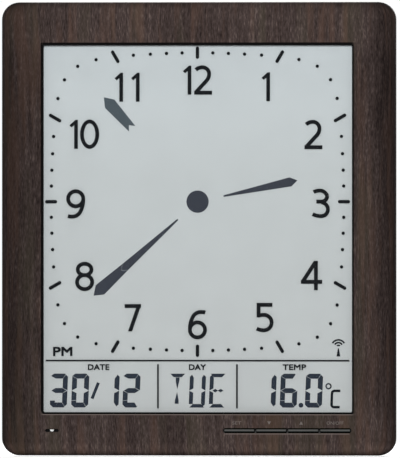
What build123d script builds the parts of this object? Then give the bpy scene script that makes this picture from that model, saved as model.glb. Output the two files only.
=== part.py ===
from build123d import *

import math
import os

# Wall clock with a large liquid crystal dial in a wood-look frame.
# All sizes are in millimetres. X runs to the right seen from the front, Z runs up, and Y runs
# from the front to the wall. The origin is the middle of the flat back, in the plane y = 0.

# Body: the wood-look front frame and the black rear case
body_width = 247.4
body_height = 284.0
body_depth = 30.0
frame_corner = 11.0
frame_edge = 10.0
frame_wall = 2.5
frame_plate = 2.0
frame_skirt = 16.0
case_gap = 0.3
case_lap = 2.5
case_wall = 2.2
case_edge = 5.0

# Window: opening in the frame, black trim, clear lens and foam gasket
side_border = 25.75
end_border = 25.9
opening_corner = 1.5
opening_bevel = 0.5
trim_gap = 0.1
trim_side_line = 0.98
trim_end_line = 1.2
trim_recess = 0.8
view_corner = 1.0
trim_flange = 0.6
lens_lap = 3.5
lens_thickness = 1.0
gasket_width = 3.4
gasket_thickness = 0.4

# Liquid crystal display: sheets from the front to the back
polariser_thickness = 0.2
polariser_inset = 1.0
glass_thickness = 0.7
glass_inset = 1.5
cell_thickness = 0.1
seal_width = 0.9
ledge_height = 2.2
reflector_thickness = 0.3
ink_thickness = 0.1

# Tray that holds the display against the frame
tray_gap = 0.2
tray_wall = 1.5
tray_floor = 1.2
tray_post_reach = 3.4
tray_post_radius = 2.6
tray_ear_radius = 3.2
tray_side_post_height = 75.0
tray_top_post_side = 50.0
tray_sensor_post_gap = 31.5
tray_key_post_gap = 10.9

# Artwork of the display, drawn for a view of this size and fitted to the real view
artwork_width = 193.74
artwork_height = 229.6
artwork_side = -0.35

# Dial: everything is placed from the dial's centre
dial_rise = 17.0
track_half = 93.3
track_narrowing = 0.9855
track_bow = 5.7
track_bow_power = 1.6
track_corner_power = 8.4
track_least_share = 0.2
dot_radius = 1.05
tick_length = 7.6
tick_width = 2.1
numeral_height = 18.3
numeral_stroke = 2.4
drawn_height = 18.3
numeral_places = {
    12: (0.0, 76.2),
    1: (42.9, 72.0),
    2: (72.8, 42.0),
    3: (77.4, -1.0),
    4: (71.6, -46.2),
    5: (42.2, -72.6),
    6: (0.0, -77.0),
    7: (-40.6, -72.0),
    8: (-70.9, -46.8),
    9: (-76.5, -1.4),
    10: (-71.1, 42.3),
    11: (-44.2, 71.8),
}

# Hands of the display, as its segments show them
hub_radius = 7.0
hand_start = 16.7
hand_start_half_width = 0.5
minute_angle = 228.0
minute_tip = 88.0
minute_shoulder = 82.5
minute_half_width = 3.95
second_angle = 318.0
second_tail = 61.4
second_tail_half_width = 2.65
second_notch = 64.5
hour_angle = 78.0
hour_tip = 64.1
hour_shoulder = 59.6
hour_half_width = 2.9
hairline = 0.18

# Lower strip of the display: date, weekday and temperature
strip_line_height = -82.5
strip_line_length = 190.6
strip_line_width = 0.95
divider_side = 24.8
divider_width = 1.05
divider_top = -84.8
divider_bottom = -112.4
digit_base = -111.9
digit_height = 21.2
digit_width = 10.7
digit_stroke = 3.1
digit_slant = 0.04
digit_corner = 1.95
digit_shoulder = 1.5
digit_split = 0.7
digit_tip = 0.15
digit_foot = 4.4
date_digits = ((3, -92.9), (0, -79.5), (1, -60.4), (2, -47.3))
slash_place = (-64.3, -101.4)
slash_size = (4.0, 10.0)
slash_stroke = 1.9
temperature_digits = ((1, 38.2), (6, 51.5), (0, 67.3))
point_place = (64.9, -110.4)
point_radius = 1.5
degree_place = (82.2, -98.5)
degree_radius = 2.0
degree_stroke = 0.9
celsius_place = (83.2, -112.4)
celsius_size = (6.0, 11.8)
celsius_stroke = 1.6
celsius_corner = 1.6
weekday_letters = (("T", -18.3), ("U", -5.6), ("E", 7.0))
letter_width = 10.1
letter_stroke = 2.5
letter_bar = 2.2
letter_cut = 0.4
letter_taper = 0.9
letter_neck = 0.78
letter_tip_gap = 0.8
letter_bar_gap = 0.6
mast_place = (88.4, -73.8)
mast_arcs = (4.3, 2.6, 0.9)
mast_arc_stroke = 1.05
mast_arc_start = 30.0
mast_arc_span = 120.0
mast_height = 5.1
mast_drop = 1.0
mast_half_width = 1.2
mast_tip = 0.3

# Keys under the window
slot_drop = 10.2
slot_width = 80.7
slot_inset = 0.3
slot_height = 3.2
key_count = 4
key_pitch = 20.07
key_gap = 1.04
key_height = 1.5
key_rise = 0.1
key_recess = 0.8
key_play = 0.1
key_flange_height = 6.0
key_flange_thickness = 1.2
key_stem_length = 1.5
key_stem_width = 5.0
key_stem_height = 3.0
switch_size = 6.0
switch_height = 3.5
switch_corner = 0.5
plunger_radius = 1.75
plunger_reach = 0.9
plunger_length = 1.8
plunger_fit = 0.05
plunger_bore_depth = 2.7
key_board_width = 83.0
key_board_height = 13.0
key_board_drop = 2.5
key_board_post_drop = 6.1
key_board_post_radius = 2.2

# Light sensor at the lower left
sensor_inset = 6.45
sensor_slit_width = 8.7
sensor_slit_height = 1.9
sensor_lens_radius = 1.2
sensor_lens_recess = 0.5
sensor_fit = 0.1
sensor_holder_width = 14.0
sensor_holder_height = 6.0
sensor_holder_thickness = 1.0
sensor_lens_flange = 0.8
sensor_lens_flange_side = 5.4
sensor_lens_tail = 1.0
sensor_chip_side = 3.0
sensor_chip_height = 1.2
sensor_board_width = 24.0
sensor_board_height = 7.5
sensor_post_side = 9.5
sensor_post_radius = 2.0

# Circuit boards
board_thickness = 1.2
board_corner = 1.0
board_margin = 2.0
board_standoff = 2.0
board_standoff_radius = 2.6
main_board_width = 130.0
main_board_height = 56.0
main_board_screw_inset = 4.0
zebra_end_gap = 10.0
zebra_width = 1.6
zebra_slot_gap = 0.5

# Screws
post_inset = 13.0
post_radius = 4.0
post_meet = 12.0
case_post_wall = 1.5
counterbore_radius = 3.2
counterbore_depth = 9.0
case_screw_radius = 1.3
case_screw_length = 10.0
case_screw_head_radius = 2.7
case_screw_head_height = 2.0
small_screw_radius = 1.0
small_screw_length = 4.0
small_screw_head_radius = 2.0
small_screw_head_height = 1.3
screw_head_round = 0.35
cross_length = 1.2
cross_width = 0.3
cross_floor = 0.4
thread_gap = 0.05
pilot_spare = 0.6
through_hole_gap = 0.3

# Battery bay with two AA cells, one above the other, and its hinged cover
bay_rise = 27.8
cell_radius = 7.1
cell_length = 49.3
cell_edge = 0.6
cell_nub_radius = 2.7
cell_nub_height = 1.2
cell_gap = 0.3
spring_length = 6.6
spring_radius_small = 2.6
spring_radius_large = 4.6
spring_wire = 0.35
spring_turns = 4
spring_seat = 0.4
contact_thickness = 0.4
contact_height = 12.0
contact_depth = 11.0
bay_wall = 1.5
cover_gap = 0.3
cover_thickness = 2.0
cover_recess = 0.2
cover_seat_gap = 0.2
cover_lip_side = 3.5
cover_lip_bottom = 4.5
cover_lip_top = 3.6
cover_corner = 1.5
barrel_radius = 1.4
pin_radius = 0.8
pin_length = 1.8
pin_fit = 0.05
seat_wall = 3.0
seat_floor = 1.6
latch_width = 12.0
latch_bump = 0.2
latch_bump_inset = 0.5
finger_notch_radius = 7.0
finger_notch_depth = 1.4
tag_width = 3.0
tag_reach = 3.2
tag_fit = 0.1

# Keyhole hanger
keyhole_drop = 37.0
keyhole_radius = 4.5
keyhole_rise = 9.0
keyhole_slot_radius = 2.3
keyhole_wall = 2.5
keyhole_pocket_radius = 7.0
keyhole_pocket_depth = 7.0
keyhole_pocket_wall = 1.5

# Radio receiver and its ferrite aerial
aerial_drop = 39.0
aerial_radius = 4.0
aerial_length = 60.0
aerial_axis_depth = 8.6
aerial_coil_wall = 1.4
aerial_coil_length = 24.0
aerial_cradle_side = 22.0
aerial_cradle_thickness = 3.0
aerial_cradle_wall = 1.6
aerial_fit = 0.1
aerial_wrap = 0.7
aerial_mouth = 0.8
radio_board_side = -52.0
radio_board_width = 24.0
radio_board_height = 16.0
radio_board_depth = 7.0
radio_board_lip = 1.0
radio_shelf_thickness = 4.0
radio_shelf_length = 9.6
radio_board_gap = 0.3
radio_chip_side = 6.0
radio_chip_height = 1.4

# Buzzer
buzzer_inset = 37.5
buzzer_rise = 70.0
buzzer_radius = 10.0
buzzer_gap = 0.3
buzzer_brass = 0.3
buzzer_ceramic_radius = 7.0
buzzer_ceramic = 0.25
buzzer_ring_wall = 1.4
buzzer_ring_height = 3.6
buzzer_ledge = 1.6
buzzer_ledge_height = 1.6
buzzer_hole_radius = 0.9
buzzer_hole_ring = 4.0
buzzer_hole_count = 6

# Reset key on the back
reset_inset = 18.0
reset_rise = 21.8
reset_hole_radius = 2.3
reset_cap_radius = 2.0
reset_cap_recess = 0.6
reset_flange_radius = 3.4
reset_flange_thickness = 1.0
reset_play = 0.1
reset_stem_radius = 1.4

# Vents and the bare recess for a label
vent_inset = 51.5
vent_rise = 46.0
vent_count = 7
vent_pitch = 4.5
vent_width = 1.8
vent_height = 16.0
label_width = 62.0
label_height = 30.0
label_depth = 0.4
label_corner = 2.0
label_height_place = 22.0

# Small parts on the main board
chip_radius = 9.0
chip_height = 1.6
chip_edge = 1.2
chip_side = 20.0
chip_rise = 8.0
capacitor_radius = 2.5
capacitor_height = 5.5
capacitor_edge = 0.4
capacitor_places = ((-48.0, -14.0), (-40.0, -14.0), (3.0, 21.0))
crystal_radius = 1.0
crystal_length = 6.0
crystal_place = (-4.0, 14.0)
thermistor_place = (-56.0, 6.0)
thermistor_reach = 6.0
thermistor_radius = 1.4
thermistor_leg_radius = 0.3
thermistor_leg_spread = 1.2

# Leads inside the case
battery_lead_radius = 0.7
battery_lead_bend = 1.6
battery_lead_spread = 3.0
battery_lead_rise = 4.0
battery_lead_landing = 12.0
tag_end = 1.0
thin_lead_radius = 0.4
thin_lead_bend = 1.5
thin_lead_spread = 3.0
sensor_lead_side = 1.5
sensor_lead_height = 1.2
sensor_lead_back = -15.0
sensor_lead_inset = (4.0, 9.8)
buzzer_lead_back = -10.0
buzzer_lead_inset = (5.0, 12.2)
radio_lead_back = -14.2
radio_lead_drop = 6.0
radio_lead_inset = 4.2
aerial_lead_coil_inset = 3.0
aerial_lead_spread = 1.2
aerial_lead_back = -17.0
aerial_lead_board_inset = 3.0
ribbon_width = 12.0
ribbon_thickness = 0.3
ribbon_land = 4.0
ribbon_inset = 28.4
ribbon_clearance = 0.6

# Depths of the layers, from the front face to the wall
front = -body_depth
plate_back = front + frame_plate
skirt_back = front + frame_skirt
lens_front = plate_back + trim_flange
lens_back = lens_front + lens_thickness
polariser_front = lens_back + gasket_thickness
front_glass_front = polariser_front + polariser_thickness
cell_front = front_glass_front + glass_thickness
cell_back = cell_front + cell_thickness
reflector_front = cell_back + glass_thickness
tray_front = reflector_front + reflector_thickness
tray_back = tray_front + tray_floor
main_board_front = tray_back + board_standoff
main_board_back = main_board_front + board_thickness
case_front = skirt_back - case_lap
case_inside = -case_wall

# Sizes that follow from the driving sizes
inner_width = body_width - 2 * frame_wall
inner_height = body_height - 2 * frame_wall
inner_corner = frame_corner - frame_wall
case_width = inner_width - 2 * case_gap
case_height = inner_height - 2 * case_gap
case_corner = inner_corner - case_gap
opening_width = body_width - 2 * side_border
opening_height = body_height - 2 * end_border
view_width = opening_width - 2 * (trim_gap + trim_side_line)
view_height = opening_height - 2 * (trim_gap + trim_end_line)
artwork_scale = min(view_width / artwork_width, view_height / artwork_height)
slot_side = view_width / 2 - slot_width / 2 - slot_inset
slot_height_place = -opening_height / 2 - slot_drop
sensor_side = sensor_inset - opening_width / 2
lens_width = opening_width + 2 * lens_lap
lens_height = opening_height + 2 * lens_lap
glass_width = lens_width - 2 * glass_inset
glass_height = lens_height - 2 * glass_inset
polariser_width = glass_width - 2 * polariser_inset
polariser_height = glass_height - 2 * polariser_inset
tray_inner_width = lens_width + 2 * tray_gap
tray_inner_height = lens_height + 2 * tray_gap
tray_width = tray_inner_width + 2 * tray_wall
tray_height = tray_inner_height + 2 * tray_wall
post_side = body_width / 2 - post_inset
post_rise = body_height / 2 - post_inset
case_posts = [(side * post_side, rise * post_rise) for side in (-1, 1) for rise in (-1, 0, 1)]
tray_post_side = tray_width / 2 + tray_post_reach
tray_post_rise = tray_height / 2 + tray_post_reach
tray_posts = (
    [(side * tray_post_side, rise * tray_side_post_height) for side in (-1, 1) for rise in (-1, 1)]
    + [(side * tray_top_post_side, tray_post_rise) for side in (-1, 1)]
    + [(sensor_side + tray_sensor_post_gap, -tray_post_rise)]
    + [(slot_side - key_board_width / 2 - tray_key_post_gap, -tray_post_rise)]
)
zebra_rise = -glass_height / 2 + ledge_height / 2
zebra_length = main_board_width - 2 * zebra_end_gap
main_board_bottom = zebra_rise - zebra_width / 2 - board_margin
main_board_rise = main_board_bottom + main_board_height / 2
main_board_top = main_board_bottom + main_board_height
main_board_screws = [
    (
        side * (main_board_width / 2 - main_board_screw_inset),
        main_board_rise + rise * (main_board_height / 2 - main_board_screw_inset),
    )
    for side in (-1, 1)
    for rise in (-1, 1)
]
key_flange_front = plate_back + key_play
key_flange_back = key_flange_front + key_flange_thickness
key_stem_back = key_flange_back + key_stem_length
key_switch_front = key_stem_back + plunger_reach
key_board_front = key_switch_front + switch_height
key_board_back = key_board_front + board_thickness
key_board_rise = slot_height_place - key_board_drop
key_sides = [slot_side + (index - (key_count - 1) / 2) * key_pitch for index in range(key_count)]
key_row_width = key_count * key_pitch - key_gap
key_board_posts = [
    (slot_side + side * key_pitch, slot_height_place - key_board_post_drop) for side in (-1, 1)
]
sensor_lens_flange_front = plate_back + sensor_holder_thickness
sensor_chip_front = sensor_lens_flange_front + sensor_lens_flange + sensor_lens_tail
sensor_board_front = sensor_chip_front + sensor_chip_height
sensor_board_back = sensor_board_front + board_thickness
sensor_posts = [(sensor_side + side * sensor_post_side, slot_height_place) for side in (-1, 1)]
bay_height_place = main_board_top + bay_rise
bay_length = cell_length + cell_nub_height + spring_length + spring_seat + 2 * contact_thickness
bay_height = 4 * cell_radius + 3 * cell_gap
cell_rise = cell_radius + cell_gap / 2
cover_back = -cover_recess
cover_inside = cover_back - cover_thickness
cell_axis = cover_inside - cell_gap - cell_radius
bay_floor_back = cell_axis - cell_radius - cell_gap
bay_floor_front = bay_floor_back - bay_wall
cover_half_width = bay_length / 2 + cover_lip_side
cover_bottom = bay_height_place - bay_height / 2 - cover_lip_bottom
barrel_rise = bay_height_place + bay_height / 2 + cover_lip_top
barrel_axis = cover_back - barrel_radius
seat_depth = cover_inside - cover_seat_gap
keyhole_height = body_height / 2 - keyhole_drop
aerial_height_place = keyhole_height - aerial_drop
aerial_axis = -aerial_axis_depth
radio_board_back = case_inside - radio_board_depth
radio_board_front = radio_board_back - board_thickness
buzzer_side = body_width / 2 - buzzer_inset
buzzer_height_place = buzzer_rise - body_height / 2
buzzer_back = case_inside - buzzer_ledge_height
vent_side = vent_inset - body_width / 2
vent_height_place = vent_rise - body_height / 2
reset_side = main_board_width / 2 - reset_inset
reset_height_place = main_board_bottom + reset_rise
reset_flange_back = case_inside - reset_play
reset_flange_front = reset_flange_back - reset_flange_thickness
reset_plunger_back = main_board_back + switch_height + plunger_reach


def slab(outline, near, far):
    """An outline drawn as seen from the front, filled from the depth near to the depth far."""
    return extrude(Plane.XZ.offset(-far) * outline, far - near, dir=(0, -1, 0))


def at(place, shape):
    """A shape moved sideways and up by a place on the front."""
    return Pos(place[0], place[1]) * shape


def ring(outer, inner):
    return outer - inner


def rounded(width, height, corner):
    return RectangleRounded(width, height, corner)


def join(pieces):
    """Several shapes as one."""
    first, *rest = pieces
    for piece in rest:
        first = first + piece
    return first


def cylinder_along_x(radius, left, right, y, z):
    """A round bar that runs from left to right at the depth y and the height z."""
    return extrude(Plane.YZ.offset(left) * Pos(y, z) * Circle(radius), right - left)


def screw(place, seat, radius, length, head_radius, head_height):
    """A pan-head screw driven towards the front, whose head rests at the depth seat."""
    shank = slab(at(place, Circle(radius)), seat - length, seat)
    head = slab(at(place, Circle(head_radius)), seat, seat + head_height)
    head = fillet(head.edges().group_by(Axis.Y)[-1], head_height * screw_head_round)
    blade = Rectangle(head_radius * cross_length, head_radius * cross_width)
    cross = at(place, blade + Rot(0, 0, 90) * blade)
    cross = slab(cross, seat + head_height * cross_floor, seat + head_height)
    return shank + head - cross


def small_screws(places, seat):
    return [
        screw(
            place,
            seat,
            small_screw_radius,
            small_screw_length,
            small_screw_head_radius,
            small_screw_head_height,
        )
        for place in places
    ]


def lead(points, bend, radius):
    """A round wire along straight runs joined by tangent arcs."""
    path = FilletPolyline(*points, radius=bend)
    section = Plane(origin=path @ 0, z_dir=path % 0) * Circle(radius)
    return sweep(section, path=path)


# Wood-look front frame


def sensor_slit():
    """The short slit of the light sensor, with round ends."""
    return at((sensor_side, slot_height_place), SlotOverall(sensor_slit_width, sensor_slit_height))


def front_frame():
    """A shallow box with rounded front edges, open at the back, with posts for the screws."""
    outside = slab(rounded(body_width, body_height, frame_corner), front, skirt_back)
    outside = fillet(outside.faces().sort_by(Axis.Y)[0].edges(), frame_edge)
    inside = slab(rounded(inner_width, inner_height, inner_corner), plate_back, skirt_back)
    inside = fillet(inside.faces().sort_by(Axis.Y)[0].edges(), frame_edge - frame_wall)
    opening = rounded(opening_width, opening_height, opening_corner)
    bevel = extrude(Plane.XZ.offset(-front - opening_bevel) * opening, opening_bevel, taper=-45)
    shell = outside - inside - slab(opening, front, plate_back) - bevel
    key_slot = at((slot_side, slot_height_place), SlotOverall(slot_width, slot_height))
    shell -= slab(key_slot, front, plate_back)
    shell -= slab(sensor_slit(), front, plate_back)
    for place in case_posts:
        shell += slab(at(place, Circle(post_radius)), plate_back, -post_meet)
        pilot_end = -counterbore_depth - case_screw_length - pilot_spare
        shell -= slab(at(place, Circle(case_screw_radius + thread_gap)), pilot_end, -post_meet)
    seats = (
        [(place, tray_post_radius, tray_front) for place in tray_posts]
        + [(place, key_board_post_radius, key_board_front) for place in key_board_posts]
        + [(place, sensor_post_radius, sensor_board_front) for place in sensor_posts]
    )
    for place, radius, seat in seats:
        shell += slab(at(place, Circle(radius)), plate_back, seat)
        pilot_end = seat - small_screw_length + board_thickness - pilot_spare
        shell -= slab(at(place, Circle(small_screw_radius + thread_gap)), pilot_end, seat)
    return shell


# Window and display


def window_trim():
    """A black ring of L section: its nose fills the edge of the opening, its flange lies behind."""
    corner = opening_corner - trim_gap
    outer = rounded(opening_width - 2 * trim_gap, opening_height - 2 * trim_gap, corner)
    view = rounded(view_width, view_height, view_corner)
    nose = slab(ring(outer, view), front + trim_recess, plate_back)
    flange = slab(ring(Rectangle(lens_width, lens_height), view), plate_back, lens_front)
    return nose + flange


def window_lens():
    return slab(Rectangle(lens_width, lens_height), lens_front, lens_back)


def lens_gasket():
    inner = Rectangle(lens_width - 2 * gasket_width, lens_height - 2 * gasket_width)
    return slab(ring(Rectangle(lens_width, lens_height), inner), lens_back, polariser_front)


def front_polariser():
    return slab(Rectangle(polariser_width, polariser_height), polariser_front, front_glass_front)


def front_glass():
    return slab(Rectangle(glass_width, glass_height), front_glass_front, cell_front)


def rear_sheet(near, far):
    """A sheet behind the cell, shorter at the bottom, where the contact ledge is bare."""
    sheet = Pos(0, ledge_height / 2) * Rectangle(glass_width, glass_height - ledge_height)
    return slab(sheet, near, far)


def cell_seal():
    outer = Rectangle(glass_width, glass_height - ledge_height)
    inner = Rectangle(glass_width - 2 * seal_width, glass_height - ledge_height - 2 * seal_width)
    return slab(Pos(0, ledge_height / 2) * ring(outer, inner), cell_front, cell_back)


def tray_ear(place):
    """A round ear for a screw, with a web as wide as the ear back to the edge of the tray."""
    side = max(-tray_width / 2, min(tray_width / 2, place[0]))
    rise = max(-tray_height / 2, min(tray_height / 2, place[1]))
    middle = ((side + place[0]) / 2, (rise + place[1]) / 2)
    width = max(abs(side - place[0]), 2 * tray_ear_radius * (side == place[0]))
    height = max(abs(rise - place[1]), 2 * tray_ear_radius * (rise == place[1]))
    return at(place, Circle(tray_ear_radius)) + at(middle, Rectangle(width, height))


def lcd_tray():
    """A black tray with a wall round the display, ears for its screws and posts for the board."""
    outer = Rectangle(tray_width, tray_height)
    wall = slab(ring(outer, Rectangle(tray_inner_width, tray_inner_height)), plate_back, tray_front)
    tray = wall + slab(outer, tray_front, tray_back)
    for place in tray_posts:
        tray += slab(tray_ear(place), tray_front, tray_back)
        tray -= slab(at(place, Circle(small_screw_radius + through_hole_gap)), tray_front, tray_back)
    for place in main_board_screws:
        tray += slab(at(place, Circle(board_standoff_radius)), tray_back, main_board_front)
        pilot = at(place, Circle(small_screw_radius + thread_gap))
        tray -= slab(pilot, tray_front, main_board_front)
    slot = Rectangle(zebra_length + 2 * zebra_slot_gap, zebra_width + 2 * zebra_slot_gap)
    return tray - slab(at((0, zebra_rise), slot), tray_front, tray_back)


def zebra_strip():
    """Rubber strip that joins the tracks on the display's bare ledge to the main board."""
    return slab(at((0, zebra_rise), Rectangle(zebra_length, zebra_width)), cell_front, main_board_front)


# Printed dial


def track_radius(angle):
    """How far from the centre the minute track runs at an angle from twelve, in degrees.

    The track is a square whose sides bow inwards, by a power of the way along each side, and
    whose corners are rounded by taking a soft minimum of the two sides.
    """
    across = abs(math.sin(math.radians(angle)))
    along = abs(math.cos(math.radians(angle)))
    reach = 0.0
    for part, other in ((across, along), (along, across)):
        radius = track_half / max(part, track_least_share)
        for _ in range(20):
            side = track_half - track_bow * (radius * other / track_half) ** track_bow_power
            radius = 0.5 * radius + 0.5 * max(side, 1.0) / max(part, track_least_share)
        reach += radius ** -track_corner_power
    return reach ** (-1 / track_corner_power)


def track_place(angle):
    """A place on the track, which is drawn a little narrower than it is tall."""
    radius = track_radius(angle)
    turn = math.radians(angle)
    return (radius * math.sin(turn) * track_narrowing, dial_rise + radius * math.cos(turn))


def dial_marks():
    """A round dot for each minute and a radial bar with round ends for each hour.

    A bar that leans across the band of the track is longer, so that all are about as deep as the band.
    """
    marks = []
    for minute in range(60):
        angle = minute * 6
        if minute % 5:
            mark = Circle(dot_radius)
        else:
            turn = math.radians(angle)
            squareness = max(abs(math.sin(turn)), abs(math.cos(turn)))
            mark = Rot(0, 0, 90 - angle) * SlotOverall(tick_length / squareness, tick_width)
        marks.append(at(track_place(angle), mark))
    return marks


def stroke(*lines):
    """A line drawing as a flat stroke of the numerals' width."""
    return join([trace(line, numeral_stroke) for line in lines])


def oval(centre, half_width, half_height):
    """An upright oval ring, measured on the middle of its stroke."""
    half = numeral_stroke / 2
    outer = Ellipse(half_width + half, half_height + half)
    inner = Ellipse(half_width - half, half_height - half)
    return at(centre, outer - inner)


def figure_one():
    return Polygon(
        (3.0, 0.0), (5.3, 0.0), (5.3, 18.1), (3.8, 18.1), (0.0, 14.7), (1.3, 13.4), (3.0, 14.8),
        align=None,
    )


def figure_two():
    start = Vector(1.2, 15.5)
    top = Vector(5.4, 17.1)
    right = Vector(9.6, 13.0)
    waist = Vector(8.1, 8.9)
    crown = TangentArc(top, start, tangent=(-1, 0))
    shoulder = TangentArc(top, right, tangent=(1, 0))
    back = TangentArc(right, waist, tangent=(0, -1))
    diagonal = Line(waist, (1.4, 1.6))
    foot = Line((0.2, 1.2), (11.4, 1.2))
    return stroke(crown, shoulder, back, diagonal, foot)


def figure_three():
    upper_top = Vector(4.7, 17.1)
    upper_right = Vector(9.3, 13.7)
    middle = Vector(5.6, 10.2)
    lower_right = Vector(9.8, 5.3)
    lower_bottom = Vector(4.7, 1.2)
    upper = TangentArc(upper_top, (0.8, 16.1), tangent=(-1, 0))
    upper_side = TangentArc(upper_top, upper_right, tangent=(1, 0))
    upper_back = TangentArc(upper_right, middle, tangent=(0, -1))
    bar = Line((2.5, 10.2), (6.0, 10.2))
    lower_side = TangentArc(lower_right, (5.6, 9.7), tangent=(0, 1))
    lower_back = TangentArc(lower_right, lower_bottom, tangent=(0, -1))
    tail = TangentArc(lower_bottom, (0.2, 2.4), tangent=(-1, 0))
    return stroke(upper, upper_side, upper_back, bar, lower_side, lower_back, tail)


def figure_four():
    return stroke(
        Line((9.5, 0.0), (9.5, drawn_height)),
        Line((9.2, 17.6), (1.1, 5.1)),
        Line((0.1, 5.2), (13.4, 5.2)),
    )


def figure_five():
    bowl_top = Vector(4.7, 10.9)
    bowl_right = Vector(9.5, 6.1)
    bowl_bottom = Vector(4.4, 1.3)
    return stroke(
        Line((0.1, 17.2), (10.0, 17.2)),
        Line((1.3, drawn_height), (1.3, 9.3)),
        TangentArc(bowl_top, (1.2, 10.4), tangent=(-1, 0)),
        TangentArc(bowl_top, bowl_right, tangent=(1, 0)),
        TangentArc(bowl_right, bowl_bottom, tangent=(0, -1)),
        TangentArc(bowl_bottom, (0.1, 2.3), tangent=(-1, 0)),
    )


def figure_six():
    left = Vector(1.2, 6.6)
    bend = Vector(3.1, 14.1)
    top = Vector(8.2, 17.1)
    stem = TangentArc(left, bend, tangent=(0, 1))
    shoulder = TangentArc(bend, top, tangent=stem % 1)
    tip = TangentArc(top, (10.9, 16.8), tangent=(1, 0))
    return oval((5.95, 5.9), 4.75, 4.7) + stroke(stem, shoulder, tip)


def figure_seven():
    bar = Line((0.0, 15.8), (10.3, 15.8))
    leg = Line((9.1, 16.4), (3.2, -0.6))
    return stroke(bar, leg) & Pos(5.2, 8.5) * Rectangle(12.0, 17.0)


def figure_eight():
    return oval((6.1, 13.5), 4.3, 3.6) + oval((6.1, 5.6), 4.75, 4.4)


def figure_nine():
    six = figure_six()
    return Pos(12.0, drawn_height) * Rot(0, 0, 180) * six


def figure_zero():
    return oval((6.0, drawn_height / 2), 4.8, 7.95)


figures = {
    0: figure_zero,
    1: figure_one,
    2: figure_two,
    3: figure_three,
    4: figure_four,
    5: figure_five,
    6: figure_six,
    7: figure_seven,
    8: figure_eight,
    9: figure_nine,
}
figure_gap = {10: 1.4, 11: 5.1, 12: 1.8}


def numeral(hour):
    """The figures of an hour, centred on their place and brought to the numerals' height."""
    size = numeral_height / drawn_height
    gap = figure_gap.get(hour, 0.0)
    shapes = [figures[int(figure)]() for figure in str(hour)]
    placed = []
    pen = 0.0
    for shape in shapes:
        box = shape.bounding_box()
        placed.append(Pos(pen - box.min.X, 0) * shape)
        pen += box.size.X + gap
    side, rise = numeral_places[hour]
    corner = (side - (pen - gap) * size / 2, dial_rise + rise - numeral_height / 2)
    return [at(corner, shape.scale(size)) for shape in placed]


def strip_lines():
    """The line above the lower strip and the two lines that divide it."""
    across = at((0, strip_line_height), Rectangle(strip_line_length, strip_line_width))
    length = divider_top - divider_bottom
    middle = (divider_top + divider_bottom) / 2
    upright = [at((side * divider_side, middle), Rectangle(divider_width, length)) for side in (-1, 1)]
    return [across] + upright


def dial_print():
    """Ink on the front of the display: minute dots, hour bars, numerals and dividing lines."""
    shapes = dial_marks() + strip_lines()
    for hour in numeral_places:
        shapes += numeral(hour)
    shapes = [at((artwork_side, 0), shape.scale(artwork_scale)) for shape in shapes]
    return [slab(shape, polariser_front - ink_thickness, polariser_front) for shape in shapes]


# Segments of the display that are switched on


def on_ray(angle, points):
    """Points given as distance along a ray and offset across it, turned to the ray's angle."""
    turn = math.radians(angle)
    along = (math.sin(turn), math.cos(turn))
    across = (math.cos(turn), -math.sin(turn))
    return [
        (reach * along[0] + side * across[0], dial_rise + reach * along[1] + side * across[1])
        for reach, side in points
    ]


def hand_shape(angle, points):
    return Polygon(*on_ray(angle, points), align=None)


def hand_outer(angle):
    """The outer part of a long hand: an arrow with a notched tail."""
    return hand_shape(
        angle,
        [
            (second_tail, -second_tail_half_width),
            (second_notch, 0),
            (second_tail, second_tail_half_width),
            (minute_shoulder, minute_half_width),
            (minute_tip, 0),
            (minute_shoulder, -minute_half_width),
        ],
    )


def hand_inner(angle):
    """The inner part of a long hand, which points into the notch of the outer part."""
    return hand_shape(
        angle,
        [
            (hand_start, -hand_start_half_width),
            (hand_start, hand_start_half_width),
            (second_tail - hairline, second_tail_half_width - hairline / 8),
            (second_notch - hairline, 0),
            (second_tail - hairline, hairline / 8 - second_tail_half_width),
        ],
    )


def hour_hand():
    return hand_shape(
        hour_angle,
        [
            (hand_start, -hand_start_half_width),
            (hand_start, hand_start_half_width),
            (hour_shoulder, hour_half_width),
            (hour_tip, 0),
            (hour_shoulder, -hour_half_width),
        ],
    )


def slanted(points, left):
    """A segment's outline in a digit's cell, leaning to the right."""
    leaning = [(left + x + digit_slant * z, digit_base + z) for x, z in points]
    return Polygon(*leaning, align=None)


def segment_outlines(width, height, thick, cut, foot):
    """The seven segments a to g of a digit: mitred bars with cut corners and a pointed middle.

    The top bar ends on the left in a blunt point above the upper left bar. The bottom bar turns
    up at its left end by foot, where the lower left bar begins.
    """
    middle = height / 2
    half = thick / 2
    gap = hairline / 2
    tip = thick * digit_tip
    split_across = cut * digit_split
    split_down = cut - split_across
    top = [
        (0, height - digit_shoulder),
        (cut, height),
        (width - cut, height),
        (width - split_across - gap, height - split_down + gap),
        (width - thick - gap, height - thick),
        (thick, height - thick),
    ]
    upper_left = [
        (0, height - digit_shoulder - hairline),
        (thick, height - thick - hairline),
        (thick, middle + half + gap),
        (0, middle + gap),
    ]
    upper_right = [
        (width - split_across, height - split_down - gap),
        (width, height - cut),
        (width, middle + gap),
        (width - thick, middle + half + gap),
        (width - thick, height - thick - gap),
    ]
    bar = [
        (tip + gap, middle),
        (thick + gap, middle + half),
        (width - thick - gap, middle + half),
        (width - tip - gap, middle),
        (width - thick - gap, middle - half),
        (thick + gap, middle - half),
    ]
    bottom = [
        (0, cut),
        (cut, 0),
        (width - cut, 0),
        (width - split_across - gap, split_down - gap),
        (width - thick - gap, thick),
        (thick, thick),
        (thick, foot - gap),
        (0, foot - gap),
    ]
    lower_left = [
        (0, foot + gap),
        (thick, foot + gap),
        (thick, middle - half - gap),
        (0, middle - gap),
    ]
    return {
        "a": top,
        "b": upper_right,
        "c": [(x, height - z) for x, z in upper_right],
        "d": bottom,
        "e": lower_left,
        "f": upper_left,
        "g": bar,
    }


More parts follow.
